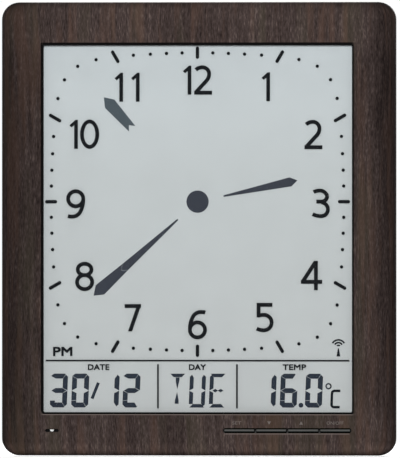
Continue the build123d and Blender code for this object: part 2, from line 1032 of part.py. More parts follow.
lit_segments = {0: "abcdef", 1: "bc", 2: "abged", 3: "abgcd", 6: "afgedc"}


def digit(value, left):
    outlines = segment_outlines(digit_width, digit_height, digit_stroke, digit_corner, digit_foot)
    return [slanted(outlines[name], left) for name in lit_segments[value]]


def letter_outlines():
    """Segments of the weekday: side bars, wide end bars and tapered middle bars."""
    width = letter_width
    height = digit_height
    outlines = segment_outlines(width, height, letter_stroke, digit_corner, digit_corner + hairline)
    middle = width / 2
    half = height / 2
    waist = letter_stroke / 2
    outlines["a"] = [
        (letter_cut, height),
        (width - letter_cut, height),
        (width - letter_stroke, height - letter_bar),
        (letter_stroke, height - letter_bar),
    ]
    outlines["d"] = [(x, height - z) for x, z in outlines["a"]]
    outlines["f"] = [(width - x, z) for x, z in outlines["b"]]
    upper = [
        (middle - waist, height - letter_bar - hairline),
        (middle + waist, height - letter_bar - hairline),
        (middle + waist * letter_taper, height * letter_neck),
        (middle, half + letter_tip_gap),
        (middle - waist * letter_taper, height * letter_neck),
    ]
    outlines["i"] = upper
    outlines["l"] = [(x, height - z) for x, z in upper]
    short = (middle - hairline - waist) / 2
    for name, centre in (("g", waist + letter_bar_gap + short), ("h", width - waist - short)):
        outlines[name] = [
            (centre - short, half),
            (centre, half + waist * letter_taper),
            (centre + short, half),
            (centre, half - waist * letter_taper),
        ]
    return outlines


letter_segments = {"T": "ail", "U": "bcdef", "E": "adefgh"}


def weekday():
    outlines = letter_outlines()
    return [
        slanted(outlines[name], left)
        for letter, left in weekday_letters
        for name in letter_segments[letter]
    ]


def small_marks():
    """The stroke between day and month, the decimal point, the degree sign and the C."""
    lean = slash_size[0] / 2
    rise = slash_size[1] / 2
    slash = trace(Line((-lean, -rise), (lean, rise)), slash_stroke)
    point = Circle(point_radius)
    degree = Circle(degree_radius) - Circle(degree_radius - degree_stroke)
    width, height = celsius_size
    inset = celsius_stroke / 2
    lean_low, lean_high = (digit_slant * z for z in (inset, height - inset))
    bracket = FilletPolyline(
        (width + lean_high, height - inset),
        (inset + lean_high, height - inset),
        (inset + lean_low, inset),
        (width + lean_low, inset),
        radius=celsius_corner,
    )
    return [
        at(slash_place, slash),
        at(point_place, point),
        at(degree_place, degree),
        at(celsius_place, trace(bracket, celsius_stroke)),
    ]


def radio_mast():
    """The reception sign: three arcs above a narrow mast."""
    shapes = [
        at(mast_place, trace(CenterArc((0, 0), radius, mast_arc_start, mast_arc_span), mast_arc_stroke))
        for radius in mast_arcs
    ]
    mast = Polygon(
        (mast_tip, -mast_drop),
        (-mast_tip, -mast_drop),
        (-mast_half_width, -mast_drop - mast_height),
        (mast_half_width, -mast_drop - mast_height),
        align=None,
    )
    return shapes + [at(mast_place, mast)]


def lcd_segments():
    """Dark liquid crystal areas between the two glasses."""
    shapes = [
        at((0, dial_rise), Circle(hub_radius)),
        hour_hand(),
        hand_inner(minute_angle),
        hand_outer(minute_angle),
        hand_outer(second_angle),
    ]
    for value, left in date_digits + temperature_digits:
        shapes += digit(value, left)
    shapes += weekday() + small_marks() + radio_mast()
    shapes = [at((artwork_side, 0), shape.scale(artwork_scale)) for shape in shapes]
    return [slab(shape, cell_front, cell_back) for shape in shapes]


# Boards and their parts


def main_board():
    outline = at((0, main_board_rise), rounded(main_board_width, main_board_height, board_corner))
    board = slab(outline, main_board_front, main_board_back)
    for place in main_board_screws:
        board -= slab(
            at(place, Circle(small_screw_radius + through_hole_gap)), main_board_front, main_board_back
        )
    return board


def driver_chips():
    """Two drops of black resin over the bare display drivers."""
    drops = []
    for side in (-1, 1):
        place = (side * chip_side, main_board_rise + chip_rise)
        drop = slab(at(place, Circle(chip_radius)), main_board_back, main_board_back + chip_height)
        drops.append(fillet(drop.edges().group_by(Axis.Y)[-1], chip_edge))
    return drops


def board_capacitors():
    cans = []
    for side, rise in capacitor_places:
        outline = at((side, main_board_rise + rise), Circle(capacitor_radius))
        can = slab(outline, main_board_back, main_board_back + capacitor_height)
        cans.append(fillet(can.edges().group_by(Axis.Y)[-1], capacitor_edge))
    return cans


def clock_crystal():
    side, rise = crystal_place
    return cylinder_along_x(
        crystal_radius,
        side - crystal_length / 2,
        side + crystal_length / 2,
        main_board_back + crystal_radius,
        main_board_rise + rise,
    )


def thermistor():
    """A bead on two legs that hold it off the main board, near the vents."""
    side, rise = thermistor_place
    height = main_board_rise + rise
    bead_axis = main_board_back + thermistor_reach
    bead = Pos(side, bead_axis, height) * Sphere(thermistor_radius)
    for sign in (-1, 1):
        leg = at((side + sign * thermistor_leg_spread / 2, height), Circle(thermistor_leg_radius))
        bead += slab(leg, main_board_back, bead_axis)
    return bead


def key_board():
    outline = at((slot_side, key_board_rise), rounded(key_board_width, key_board_height, board_corner))
    board = slab(outline, key_board_front, key_board_back)
    for place in key_board_posts:
        board -= slab(
            at(place, Circle(small_screw_radius + through_hole_gap)), key_board_front, key_board_back
        )
    return board


def push_switch(place, board_face, toward):
    """A square switch body on a board face, with a bore for its plunger. It faces toward."""
    body = at(place, rounded(switch_size, switch_size, switch_corner))
    bore = at(place, Circle(plunger_radius + plunger_fit))
    face = board_face + toward * switch_height
    bottom = face - toward * plunger_bore_depth
    block = slab(body, min(board_face, face), max(board_face, face))
    return block - slab(bore, min(face, bottom), max(face, bottom))


def push_plunger(place, tip, toward):
    """The round plunger of a switch, whose outer end lies at the depth tip."""
    root = tip - toward * plunger_length
    return slab(at(place, Circle(plunger_radius)), min(tip, root), max(tip, root))


def key(index):
    """A key cap in the slot, its flange behind the frame and its stem down to the plunger."""
    place = (key_sides[index], slot_height_place)
    row = at((slot_side, slot_height_place + key_rise), SlotOverall(key_row_width, key_height))
    cell = at((key_sides[index], slot_height_place + key_rise), Rectangle(key_pitch - key_gap, key_height))
    cap = slab(row & cell, front + key_recess, key_flange_front)
    flange = slab(
        at(place, Rectangle(key_pitch - key_gap, key_flange_height)), key_flange_front, key_flange_back
    )
    stem = slab(at(place, Rectangle(key_stem_width, key_stem_height)), key_flange_back, key_stem_back)
    return cap + flange + stem


def key_ribbon():
    """A flat cable from the back of the key board to the back of the main board."""
    low = key_board_rise + key_board_height / 2
    high = main_board_bottom
    near = key_board_back
    far = main_board_back
    bend = high - ribbon_clearance
    lower = [(near, low - ribbon_land), (near, low), (far, bend), (far, high + ribbon_land)]
    upper = [(y + ribbon_thickness, z) for y, z in reversed(lower)]
    profile = Polygon(*(lower + upper), align=None)
    left = slot_side - ribbon_inset - ribbon_width / 2
    return extrude(Plane.YZ.offset(left) * profile, ribbon_width)


# Light sensor


def sensor_half_disc(extra):
    """A half disc with its flat side up, grown all round by extra."""
    radius = sensor_lens_radius + extra
    below = Pos(0, -radius / 2 + extra / 2) * Rectangle(2 * radius, radius + extra)
    return at((sensor_side, slot_height_place + sensor_lens_radius / 2), Circle(radius) & below)


def sensor_holder():
    plate = at((sensor_side, slot_height_place), Rectangle(sensor_holder_width, sensor_holder_height))
    return slab(plate - sensor_half_disc(sensor_fit), plate_back, sensor_lens_flange_front)


def sensor_lens():
    """A light guide: a half-disc rod with a square flange behind its holder."""
    flange_back = sensor_lens_flange_front + sensor_lens_flange
    rod = slab(sensor_half_disc(0), front + sensor_lens_recess, sensor_chip_front)
    flange = Rectangle(sensor_lens_flange_side, sensor_lens_flange_side)
    flange = at((sensor_side, slot_height_place), flange)
    return rod + slab(flange, sensor_lens_flange_front, flange_back)


def sensor_chip():
    outline = at((sensor_side, slot_height_place), Rectangle(sensor_chip_side, sensor_chip_side))
    return slab(outline, sensor_chip_front, sensor_board_front)


def sensor_board():
    outline = rounded(sensor_board_width, sensor_board_height, board_corner)
    outline = at((sensor_side, slot_height_place), outline)
    board = slab(outline, sensor_board_front, sensor_board_back)
    for place in sensor_posts:
        hole = at(place, Circle(small_screw_radius + through_hole_gap))
        board -= slab(hole, sensor_board_front, sensor_board_back)
    return board


# Rear case


def keyhole_outline(radius, slot_radius):
    """A round entry hole with a narrower slot that rises from it."""
    entry = at((0, keyhole_height), Circle(radius))
    neck = at((0, keyhole_height + keyhole_rise / 2), Rectangle(2 * slot_radius, keyhole_rise))
    return entry + neck + at((0, keyhole_height + keyhole_rise), Circle(slot_radius))


def keyhole_stadium(radius):
    middle = (0, keyhole_height + keyhole_rise / 2)
    return at(middle, Rot(0, 0, 90) * SlotCenterToCenter(keyhole_rise, 2 * radius))


def add_keyhole(case):
    pocket_front = -keyhole_wall - keyhole_pocket_depth
    outside = keyhole_stadium(keyhole_pocket_radius + keyhole_pocket_wall)
    case += slab(outside, pocket_front - keyhole_pocket_wall, 0)
    case -= slab(keyhole_stadium(keyhole_pocket_radius), pocket_front, -keyhole_wall)
    return case - slab(keyhole_outline(keyhole_radius, keyhole_slot_radius), -keyhole_wall, 0)


def add_screw_posts(case):
    """Tubes that meet the frame's posts, with sunk seats for the screw heads."""
    for place in case_posts:
        case += slab(at(place, Circle(counterbore_radius + case_post_wall)), -post_meet, 0)
        case -= slab(at(place, Circle(counterbore_radius)), -counterbore_depth, 0)
        hole = at(place, Circle(case_screw_radius + through_hole_gap))
        case -= slab(hole, -post_meet, -counterbore_depth)
    return case


def bay_box(length, height, near, far):
    return slab(at((0, bay_height_place), Rectangle(length, height)), near, far)


def add_battery_bay(case):
    """The box for the cells, the sunk seat of the cover and the holes for its hinge pins."""
    middle = (cover_bottom + barrel_rise + barrel_radius) / 2
    half_width = cover_half_width + cover_gap
    height = barrel_rise + barrel_radius - cover_bottom + 2 * cover_gap
    recess = at((0, middle), Rectangle(2 * half_width, height))
    rim = at((0, middle), Rectangle(2 * (half_width + seat_wall), height + 2 * seat_wall))
    case += slab(rim, seat_depth - seat_floor, 0)
    case += bay_box(bay_length + 2 * bay_wall, bay_height + 2 * bay_wall, bay_floor_front, 0)
    case -= slab(recess, seat_depth, 0)
    case -= bay_box(bay_length, bay_height, bay_floor_back, 0)
    groove_radius = barrel_radius + cover_gap
    case -= cylinder_along_x(groove_radius, -half_width, half_width, barrel_axis, barrel_rise)
    hole_end = cover_half_width + pin_length + cover_gap
    case -= cylinder_along_x(pin_radius + pin_fit, -hole_end, hole_end, barrel_axis, barrel_rise)
    notch = at((0, cover_bottom - cover_gap), Circle(finger_notch_radius))
    return case - slab(notch, -finger_notch_depth, 0)


def tag_slots():
    """Slits in the bay's right wall for the tags of the two terminals."""
    slots = []
    for rise in (cell_rise, -cell_rise):
        height = tag_width + 2 * tag_fit
        depth = contact_thickness + 2 * tag_fit
        left = bay_length / 2
        box = Box(bay_wall, depth, height, align=(Align.MIN, Align.CENTER, Align.CENTER))
        slots.append(Pos(left, tag_axis(), bay_height_place + rise) * box)
    return slots


def tag_axis():
    return cell_axis - contact_depth / 2 + contact_thickness / 2


def add_aerial_cradles(case):
    """Two forks that hold the ferrite rod, open to the front."""
    half = aerial_radius + aerial_fit
    near = aerial_axis - aerial_radius * aerial_wrap
    for side in (-1, 1):
        middle = side * aerial_cradle_side
        left = middle - aerial_cradle_thickness / 2
        outline = at(
            (middle, aerial_height_place),
            Rectangle(aerial_cradle_thickness, 2 * (half + aerial_cradle_wall)),
        )
        case += slab(outline, near, case_inside)
        right = left + aerial_cradle_thickness
        case -= cylinder_along_x(half, left, right, aerial_axis, aerial_height_place)
        mouth = Rectangle(aerial_cradle_thickness, 2 * half * aerial_mouth)
        mouth = at((middle, aerial_height_place), mouth)
        case -= slab(mouth, near, aerial_axis)
    return case


def add_radio_shelves(case):
    """Two ribs with a notch that carry the receiver board by its ends."""
    for side in (-1, 1):
        edge = radio_board_side + side * radio_board_width / 2
        rib = at((edge, aerial_height_place), Rectangle(radio_shelf_thickness, radio_shelf_length))
        case += slab(rib, radio_board_front - radio_board_lip, case_inside)
    notch = Rectangle(radio_board_width + 2 * radio_board_gap, radio_board_height)
    notch = at((radio_board_side, aerial_height_place), notch)
    return case - slab(notch, radio_board_front - radio_board_lip, radio_board_back)


def add_buzzer_seat(case):
    """A ring with a ledge inside, and sound holes through the back."""
    place = (buzzer_side, buzzer_height_place)
    inner = buzzer_radius + buzzer_gap
    wall = ring(Circle(inner + buzzer_ring_wall), Circle(inner))
    case += slab(at(place, wall), case_inside - buzzer_ring_height, case_inside)
    ledge = ring(Circle(inner), Circle(buzzer_radius - buzzer_ledge))
    case += slab(at(place, ledge), buzzer_back, case_inside)
    case -= slab(at(place, Circle(buzzer_hole_radius)), case_inside, 0)
    for index in range(buzzer_hole_count):
        hole = Pos(buzzer_hole_ring, 0) * Circle(buzzer_hole_radius)
        hole = Rot(0, 0, 360 * index / buzzer_hole_count) * hole
        case -= slab(at(place, hole), case_inside, 0)
    return case


def add_vents(case):
    for index in range(vent_count):
        side = vent_side + (index - (vent_count - 1) / 2) * vent_pitch
        slot = Rot(0, 0, 90) * SlotOverall(vent_height, vent_width)
        case -= slab(at((side, vent_height_place), slot), case_inside, 0)
    return case


def rear_case():
    """A black shell that closes the back, with all that is moulded on it."""
    outside = slab(rounded(case_width, case_height, case_corner), case_front, 0)
    outside = fillet(outside.faces().sort_by(Axis.Y)[-1].edges(), case_edge)
    inner_radius = case_corner - case_wall
    inside = rounded(case_width - 2 * case_wall, case_height - 2 * case_wall, inner_radius)
    inside = slab(inside, case_front, case_inside)
    inside = fillet(inside.faces().sort_by(Axis.Y)[-1].edges(), case_edge - case_wall)
    case = outside - inside
    case = add_screw_posts(case)
    case = add_battery_bay(case)
    case -= join(tag_slots())
    case = add_keyhole(case)
    case = add_aerial_cradles(case)
    case = add_radio_shelves(case)
    case = add_buzzer_seat(case)
    case = add_vents(case)
    reset_hole = at((reset_side, reset_height_place), Circle(reset_hole_radius))
    case -= slab(reset_hole, case_inside, 0)
    label = at((0, label_height_place), rounded(label_width, label_height, label_corner))
    return case - slab(label, -label_depth, 0)


def case_screws():
    return [
        screw(
            place,
            -counterbore_depth,
            case_screw_radius,
            case_screw_length,
            case_screw_head_radius,
            case_screw_head_height,
        )
        for place in case_posts
    ]


def battery_cover():
    """A flat cover with a hinge barrel and pins along its top and a latch bump at its bottom."""
    height = barrel_rise - cover_bottom
    outline = at((0, cover_bottom + height / 2), Rectangle(2 * cover_half_width, height))
    cover = slab(outline, cover_inside, cover_back)
    upright = cover.edges().filter_by(Axis.Y).group_by(Axis.Z)[0]
    cover = fillet(upright, cover_corner)
    cover += cylinder_along_x(barrel_radius, -cover_half_width, cover_half_width, barrel_axis, barrel_rise)
    reach = cover_half_width + pin_length
    cover += cylinder_along_x(pin_radius, -reach, reach, barrel_axis, barrel_rise)
    bump = at((0, cover_bottom), Rectangle(latch_width, 2 * latch_bump))
    return cover + slab(bump, cover_inside + latch_bump_inset, cover_back - latch_bump_inset)


# Cells and contacts


def battery(rise, facing):
    """An AA cell along X: a can with rounded ends and its nub on the facing side."""
    flat_end = -facing * (bay_length / 2 - contact_thickness - spring_length - spring_seat)
    nub_face = flat_end + facing * cell_length
    nub_tip = nub_face + facing * cell_nub_height
    height = bay_height_place + rise
    can = cylinder_along_x(
        cell_radius, min(flat_end, nub_face), max(flat_end, nub_face), cell_axis, height
    )
    can = fillet(can.edges().filter_by(GeomType.CIRCLE), cell_edge)
    return can + cylinder_along_x(
        cell_nub_radius, min(nub_face, nub_tip), max(nub_face, nub_tip), cell_axis, height
    )


def contact_plate(rise, height, side, tag):
    """A flat nickel plate on an end wall of the bay, with a tag through the wall."""
    left = side * (bay_length / 2) - (contact_thickness if side > 0 else 0)
    corner_align = (Align.MIN, Align.CENTER, Align.CENTER)
    place = Pos(left, cell_axis, bay_height_place + rise)
    plate = place * Box(contact_thickness, contact_depth, height, align=corner_align)
    if tag:
        reach = contact_thickness + bay_wall + tag_reach
        strip = Box(reach, contact_thickness, tag_width, align=corner_align)
        plate += Pos(left, tag_axis(), bay_height_place + rise) * strip
    return plate


def bridge_contact():
    return contact_plate(0, 2 * cell_rise + contact_height, -1, False)


def arc_middle(start, way, end):
    """The middle of the arc that leaves start along way and ends at end."""
    chord = end - start
    half_way = (way + chord.normalized()).normalized()
    return start + half_way * (chord.length / 2 / half_way.dot(chord.normalized()))


def arc_pair(start, start_way, end, end_way):
    """Two arcs that leave start along start_way and reach end along end_way without a kink."""
    span = end - start
    ways = start_way + end_way
    a = 2 * (1 - start_way.dot(end_way))
    b = 2 * span.dot(ways)
    c = -span.dot(span)
    handle = (-b + math.sqrt(b * b - 4 * a * c)) / (2 * a)
    joint = (start + start_way * handle + end - end_way * handle) * 0.5
    first = ThreePointArc(start, arc_middle(start, start_way, joint), joint)
    second = ThreePointArc(joint, arc_middle(end, -end_way, joint), end)
    return [first, second]


def spring_points(rise, facing):
    """Points and directions each quarter turn along a spring that narrows towards the cell."""
    wall = -facing * (bay_length / 2 - contact_thickness - spring_wire)
    length = spring_length - 2 * spring_wire
    steps = spring_turns * 4
    rows = []
    for step in range(steps + 1):
        share = step / steps
        turn = math.pi / 2 * step
        radius = spring_radius_large + (spring_radius_small - spring_radius_large) * share
        shrink = (spring_radius_small - spring_radius_large) / (2 * math.pi * spring_turns)
        climb = length / (2 * math.pi * spring_turns)
        point = Vector(
            wall + facing * length * share,
            cell_axis + radius * math.cos(turn),
            bay_height_place + rise + radius * math.sin(turn),
        )
        way = Vector(
            facing * climb,
            shrink * math.cos(turn) - radius * math.sin(turn),
            shrink * math.sin(turn) + radius * math.cos(turn),
        ).normalized()
        rows.append((point, way))
    return rows


def contact_spring(rise, facing):
    rows = spring_points(rise, facing)
    arcs = []
    for (start, start_way), (end, end_way) in zip(rows, rows[1:]):
        arcs += arc_pair(start, start_way, end, end_way)
    path = Wire(arcs)
    section = Plane(origin=path @ 0, z_dir=path % 0) * Circle(spring_wire)
    return sweep(section, path=path)


def spring_gap():
    """Least space between neighbouring turns of a spring, measured on its points."""
    points = [row[0] for row in spring_points(cell_rise, 1)]
    apart = [(points[index + 4] - points[index]).length for index in range(len(points) - 4)]
    return min(apart) - 2 * spring_wire


# Leads


def battery_lead(rise, step):
    """From the tag of a terminal down and into the main board."""
    side = bay_length / 2 + bay_wall + tag_reach - tag_end
    height = bay_height_place + rise
    back = tag_axis() + battery_lead_rise + step
    landing = main_board_top - battery_lead_landing - step
    goal = side + battery_lead_spread + step
    points = [
        (side, tag_axis() + contact_thickness / 2, height),
        (side, back, height),
        (goal, back, landing),
        (goal, main_board_back, landing),
    ]
    return lead(points, battery_lead_bend, battery_lead_radius)


def thin_lead(start, back, end):
    """From one board back to the depth back, straight across and forward to the other board."""
    points = [start, (start[0], back, start[2]), (end[0], back, end[2]), end]
    return lead(points, thin_lead_bend, thin_lead_radius)


def sensor_leads():
    """Two wires from the sensor board to the lower left corner of the main board."""
    side = sensor_lead_inset[0] - main_board_width / 2
    height = main_board_bottom + sensor_lead_inset[1]
    leads = []
    for step in (0.0, thin_lead_spread):
        start = (
            sensor_side + sensor_lead_side + thin_lead_spread - step,
            sensor_board_back,
            slot_height_place + sensor_lead_height,
        )
        leads.append(thin_lead(start, sensor_lead_back, (side - step, main_board_back, height + step)))
    return leads


def buzzer_leads():
    """One wire from the ceramic and one from the brass to the right side of the main board."""
    side = main_board_width / 2 - buzzer_lead_inset[0]
    height = main_board_top - buzzer_lead_inset[1]
    brass_front = buzzer_back - buzzer_brass
    brass_side = buzzer_side + (buzzer_ceramic_radius + buzzer_radius) / 2
    ceramic = thin_lead(
        (buzzer_side, brass_front - buzzer_ceramic, buzzer_height_place),
        buzzer_lead_back,
        (side, main_board_back, height),
    )
    brass = thin_lead(
        (brass_side, brass_front, buzzer_height_place),
        buzzer_lead_back,
        (side, main_board_back, height - thin_lead_spread),
    )
    return [ceramic, brass]


def radio_leads():
    """Three wires from the receiver board down to the top of the main board."""
    leads = []
    for index in (-1, 0, 1):
        side = radio_board_side + index * thin_lead_spread
        start = (side, radio_board_front, aerial_height_place - radio_lead_drop)
        end = (side, main_board_back, main_board_top - radio_lead_inset)
        leads.append(thin_lead(start, radio_lead_back, end))
    return leads


def aerial_leads():
    """Two wires from the coil to the receiver board, in front of the ferrite rod."""
    coil_front = aerial_axis - aerial_radius - aerial_fit - aerial_coil_wall
    coil_end = aerial_lead_coil_inset - aerial_coil_length / 2
    board_end = radio_board_side + radio_board_width / 2 - aerial_lead_board_inset
    leads = []
    for side in (-1, 1):
        height = aerial_height_place + side * aerial_lead_spread
        start = (coil_end, coil_front, height)
        end = (board_end, radio_board_front, height)
        leads.append(thin_lead(start, aerial_lead_back, end))
    return leads


def aerial_rod():
    half = aerial_length / 2
    return cylinder_along_x(aerial_radius, -half, half, aerial_axis, aerial_height_place)


def aerial_coil():
    half = aerial_coil_length / 2
    outer = aerial_radius + aerial_fit + aerial_coil_wall
    tube = cylinder_along_x(outer, -half, half, aerial_axis, aerial_height_place)
    return tube - cylinder_along_x(
        aerial_radius + aerial_fit, -half, half, aerial_axis, aerial_height_place
    )


def radio_board():
    outline = Rectangle(radio_board_width, radio_board_height)
    return slab(at((radio_board_side, aerial_height_place), outline), radio_board_front, radio_board_back)


def radio_chip():
    outline = Rectangle(radio_chip_side, radio_chip_side)
    place = (radio_board_side, aerial_height_place)
    return slab(at(place, outline), radio_board_front - radio_chip_height, radio_board_front)


def buzzer_disc():
    place = (buzzer_side, buzzer_height_place)
    brass_front = buzzer_back - buzzer_brass
    brass = slab(at(place, Circle(buzzer_radius)), brass_front, buzzer_back)
    ceramic = slab(at(place, Circle(buzzer_ceramic_radius)), brass_front - buzzer_ceramic, brass_front)
    return [brass, ceramic]


def reset_key():
    """A small cap in a hole of the back, with a flange inside and a stem to its switch."""
    place = (reset_side, reset_height_place)
    cap = slab(at(place, Circle(reset_cap_radius)), reset_flange_back, -reset_cap_recess)
    flange = slab(at(place, Circle(reset_flange_radius)), reset_flange_front, reset_flange_back)
    stem = slab(at(place, Circle(reset_stem_radius)), reset_plunger_back, reset_flange_front)
    return cap + flange + stem


# Writing the pieces


def write(name, shape):
    """Writes one piece, or a group of like pieces, under its name."""
    solids = shape if isinstance(shape, list) else [shape]
    solids = [solid for item in solids for solid in item.solids()]
    whole = solids[0] if len(solids) == 1 else Compound(children=solids)
    export_step(whole, f"parts/{name}.step")


def main():
    os.makedirs("parts", exist_ok=True)
    write("front_frame", front_frame())
    write("window_trim", window_trim())
    write("window_lens", window_lens())
    write("lens_gasket", lens_gasket())
    write("lcd_front_polariser", front_polariser())
    write("lcd_front_glass", front_glass())
    write("lcd_cell_seal", cell_seal())
    write("lcd_segments", lcd_segments())
    write("dial_print", dial_print())
    write("lcd_rear_glass", rear_sheet(cell_back, reflector_front))
    write("lcd_reflector", rear_sheet(reflector_front, tray_front))
    write("lcd_tray", lcd_tray())
    write("tray_screws", small_screws(tray_posts, tray_back))
    write("zebra_strip", zebra_strip())
    write("main_board", main_board())
    write("driver_chips", driver_chips())
    write("board_capacitors", board_capacitors())
    write("clock_crystal", clock_crystal())
    write("temperature_sensor", thermistor())
    write("main_board_screws", small_screws(main_board_screws, main_board_back))
    write("key_board", key_board())
    write("key_board_screws", small_screws(key_board_posts, key_board_back))
    places = [(side, slot_height_place) for side in key_sides]
    write("key_switches", [push_switch(place, key_board_front, -1) for place in places])
    for index, name in enumerate(("mode", "down", "up", "alarm")):
        write(f"{name}_key", key(index))
        write(f"{name}_switch_plunger", push_plunger(places[index], key_stem_back, -1))
    write("key_ribbon", key_ribbon())
    write("sensor_holder", sensor_holder())
    write("sensor_lens", sensor_lens())
    write("light_sensor", sensor_chip())
    write("sensor_board", sensor_board())
    write("sensor_board_screws", small_screws(sensor_posts, sensor_board_back))
    write("rear_case", rear_case())
    write("case_screws", case_screws())
    write("battery_cover", battery_cover())
    write("battery_upper", battery(cell_rise, 1))
    write("battery_lower", battery(-cell_rise, -1))
    write("bridge_contact", bridge_contact())
    write("positive_terminal", contact_plate(cell_rise, contact_height, 1, True))
    write("negative_terminal", contact_plate(-cell_rise, contact_height, 1, True))
    write("contact_springs", [contact_spring(cell_rise, 1), contact_spring(-cell_rise, -1)])
    print("least gap between spring turns:", round(spring_gap(), 2))
    write("battery_lead_red", battery_lead(cell_rise, battery_lead_spread))
    write("battery_lead_black", battery_lead(-cell_rise, 0))
    write("sensor_leads", sensor_leads())
    write("buzzer_leads", buzzer_leads())
    write("radio_leads", radio_leads())
    write("aerial_leads", aerial_leads())
    write("aerial_rod", aerial_rod())
    write("aerial_coil", aerial_coil())
    write("radio_board", radio_board())
    write("radio_chip", radio_chip())
    write("buzzer_disc", buzzer_disc())
    reset_place = (reset_side, reset_height_place)
    write("reset_key", reset_key())
    write("reset_switch", push_switch(reset_place, main_board_back, 1))
    write("reset_switch_plunger", push_plunger(reset_place, reset_plunger_back, 1))


main()
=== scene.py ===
"""Digital wall clock: finishes, printed words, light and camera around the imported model.

Lengths are in metres.
"""
import math

import bpy
import numpy as np
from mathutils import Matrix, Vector


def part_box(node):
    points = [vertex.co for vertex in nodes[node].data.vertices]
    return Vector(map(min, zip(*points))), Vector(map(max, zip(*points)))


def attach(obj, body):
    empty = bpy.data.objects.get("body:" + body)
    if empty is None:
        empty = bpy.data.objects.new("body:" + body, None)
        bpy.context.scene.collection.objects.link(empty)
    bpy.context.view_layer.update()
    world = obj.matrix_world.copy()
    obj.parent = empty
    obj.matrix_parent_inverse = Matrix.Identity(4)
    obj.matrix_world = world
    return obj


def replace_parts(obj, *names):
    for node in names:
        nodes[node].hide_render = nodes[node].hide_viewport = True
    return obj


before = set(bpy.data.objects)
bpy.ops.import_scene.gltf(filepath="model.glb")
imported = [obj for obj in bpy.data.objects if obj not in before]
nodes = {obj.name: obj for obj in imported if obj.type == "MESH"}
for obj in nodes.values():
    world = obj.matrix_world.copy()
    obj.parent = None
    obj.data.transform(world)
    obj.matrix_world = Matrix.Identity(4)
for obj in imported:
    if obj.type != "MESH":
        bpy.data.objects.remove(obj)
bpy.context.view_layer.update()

# Sockets of Blender's Mix node when it mixes colours
MIX_FACTOR = 0
MIX_FIRST = 6
MIX_SECOND = 7
MIX_RESULT = 2

# The clock's outline, and the faces of its layers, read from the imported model
body_low, body_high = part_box("front_frame")
front_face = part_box("front_frame")[0].y
print_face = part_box("dial_print")[0].y
ink_thickness = 0.00005

# Opening of the frame: the window's lens reaches this far under its edge
lens_lap = 0.0035
opening_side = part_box("window_lens")[1].x - lens_lap
opening_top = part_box("window_lens")[1].z - lens_lap

# Keys in their slot: grey in a band across the face of each, black round it as painted shade of the slot and
# of the gaps
key_names = ("mode_key", "down_key", "up_key", "alarm_key")
key_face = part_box("mode_key")[0].y
key_rim = 0.00015
slot_middle = (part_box("mode_key")[0].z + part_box("mode_key")[1].z) / 2
slot_half_height = 0.0016
slot_foot = slot_middle - slot_half_height
grey_band_rise = 0.0002
grey_band_middle = slot_middle + grey_band_rise
grey_band_half_height = 0.00055
grey_band_edge = 0.0001
grey_band_depth = 0.0002

# Painted highlight on the lip under the slot of the keys: where it starts and ends in height, and its fade at
# each end
lip_foot = (slot_foot - 0.0009, slot_foot - 0.0006)
lip_head = (slot_foot - 0.0004, slot_foot)
lip_fade = 0.001

# Wood film: waves to the metre along X, Y and Z of each layer of its grain, and where some layers start
wander_waves = (9.0, 9.0, 7.0)
wander_width = 0.008
band_waves = (48.0, 48.0, 3.5)
band_start = (4.3, 0.2, 6.1)
streak_waves = (420.0, 420.0, 36.0)
fibre_waves = (1500.0, 1500.0, 260.0)
red_waves = (130.0, 130.0, 9.0)
red_start = (3.1, 0.7, 5.3)
olive_waves = (80.0, 80.0, 7.0)
olive_start = (7.9, 1.3, 2.1)

# Wood film: from which to which value of their noise the olive and the red-brown come in
tint_span = (0.50, 0.62)

# Wood film: from where to where its painted shading changes, measured from the clock's middle
above_window = (opening_top - 0.010, opening_top + 0.001)
below_window = (0.006 - opening_top, -0.004 - opening_top)
beside_window = (0.085, 0.110)
outer_edge = (0.133, 0.141)
rounded_edge = (0.108, 0.116)
right_bar = (0.090, 0.100)
folded_depth = (0.0030, 0.0070)
folding_side = (body_high.x - 0.0105, body_high.x - 0.0100)

# Painted highlight and shade on the bevel round the opening: where they start and end beyond the edge, and
# how its corners are shared
bevel_start = (-0.0002, 0.0)
bevel_end = (0.0004, 0.0006)
bevel_corner = (-0.02, 0.02)

# Silver film: its painted light changes over these two heights, lower and upper, darker low down and paler at
# the top
silver_lower = (-0.115, 0.02)
silver_upper = (0.03, 0.115)

# Lit segments: over which heights the strip's digits end, over which side and heights the mast's corner does,
# and how far up and to the left together the seconds arrow starts
strip_head = (-0.080, -0.078)
mast_side = (0.082, 0.083)
mast_head = (-0.066, -0.064)
arrow_start = (0.100, 0.102)

# Battery sleeve: where its silver band starts
sleeve_band = (0.0105, 0.0110)

# What a noise, and a sum of two noises, mostly stays between
noise_span = (0.3, 0.7)
summed_span = (0.35, 0.65)

# Generic words on the display: left, right, foot and head of each, and how bold its ink is
strip_line = (-0.0884, -0.0848)
display_words = {
    "word_pm": ("PM", (-0.0911, -0.0789, -0.0797, -0.0739), 0.00025),
    "word_date": ("DATE", (-0.0692, -0.0557, *strip_line), 0.00014),
    "word_day": ("DAY", (-0.0057, 0.0050, *strip_line), 0.00014),
    "word_temp": ("TEMP", (0.0531, 0.0679, *strip_line), 0.00014),
}

# Legends above the keys: foot and head of them all, then left and right of each word, and the middle of
# each triangle and whether it points up (1) or down (-1), with its width as a share of its height
legend_line = (-0.1225, -0.1205)
legend_words = {
    "legend_set": ("SET", (0.0218, 0.0274)),
    "legend_on_off": ("ON/OFF", (0.0810, 0.0916)),
}
legend_marks = {
    "legend_down": (0.0449, -1.0),
    "legend_up": (0.0650, 1.0),
}
mark_width = 1.15

# Camera, matched to the photograph; the width of its sensor is in millimetres
photo_height = 458
pixel = 0.284 / 453.25
camera_distance = 11.0
camera_turn = math.radians(4.5)
camera_sensor = 36.0
body_centre_in_photo = (199.13, 228.82)
frame_centre_in_photo = (200.0, 229.0)
outline_depth = -0.017

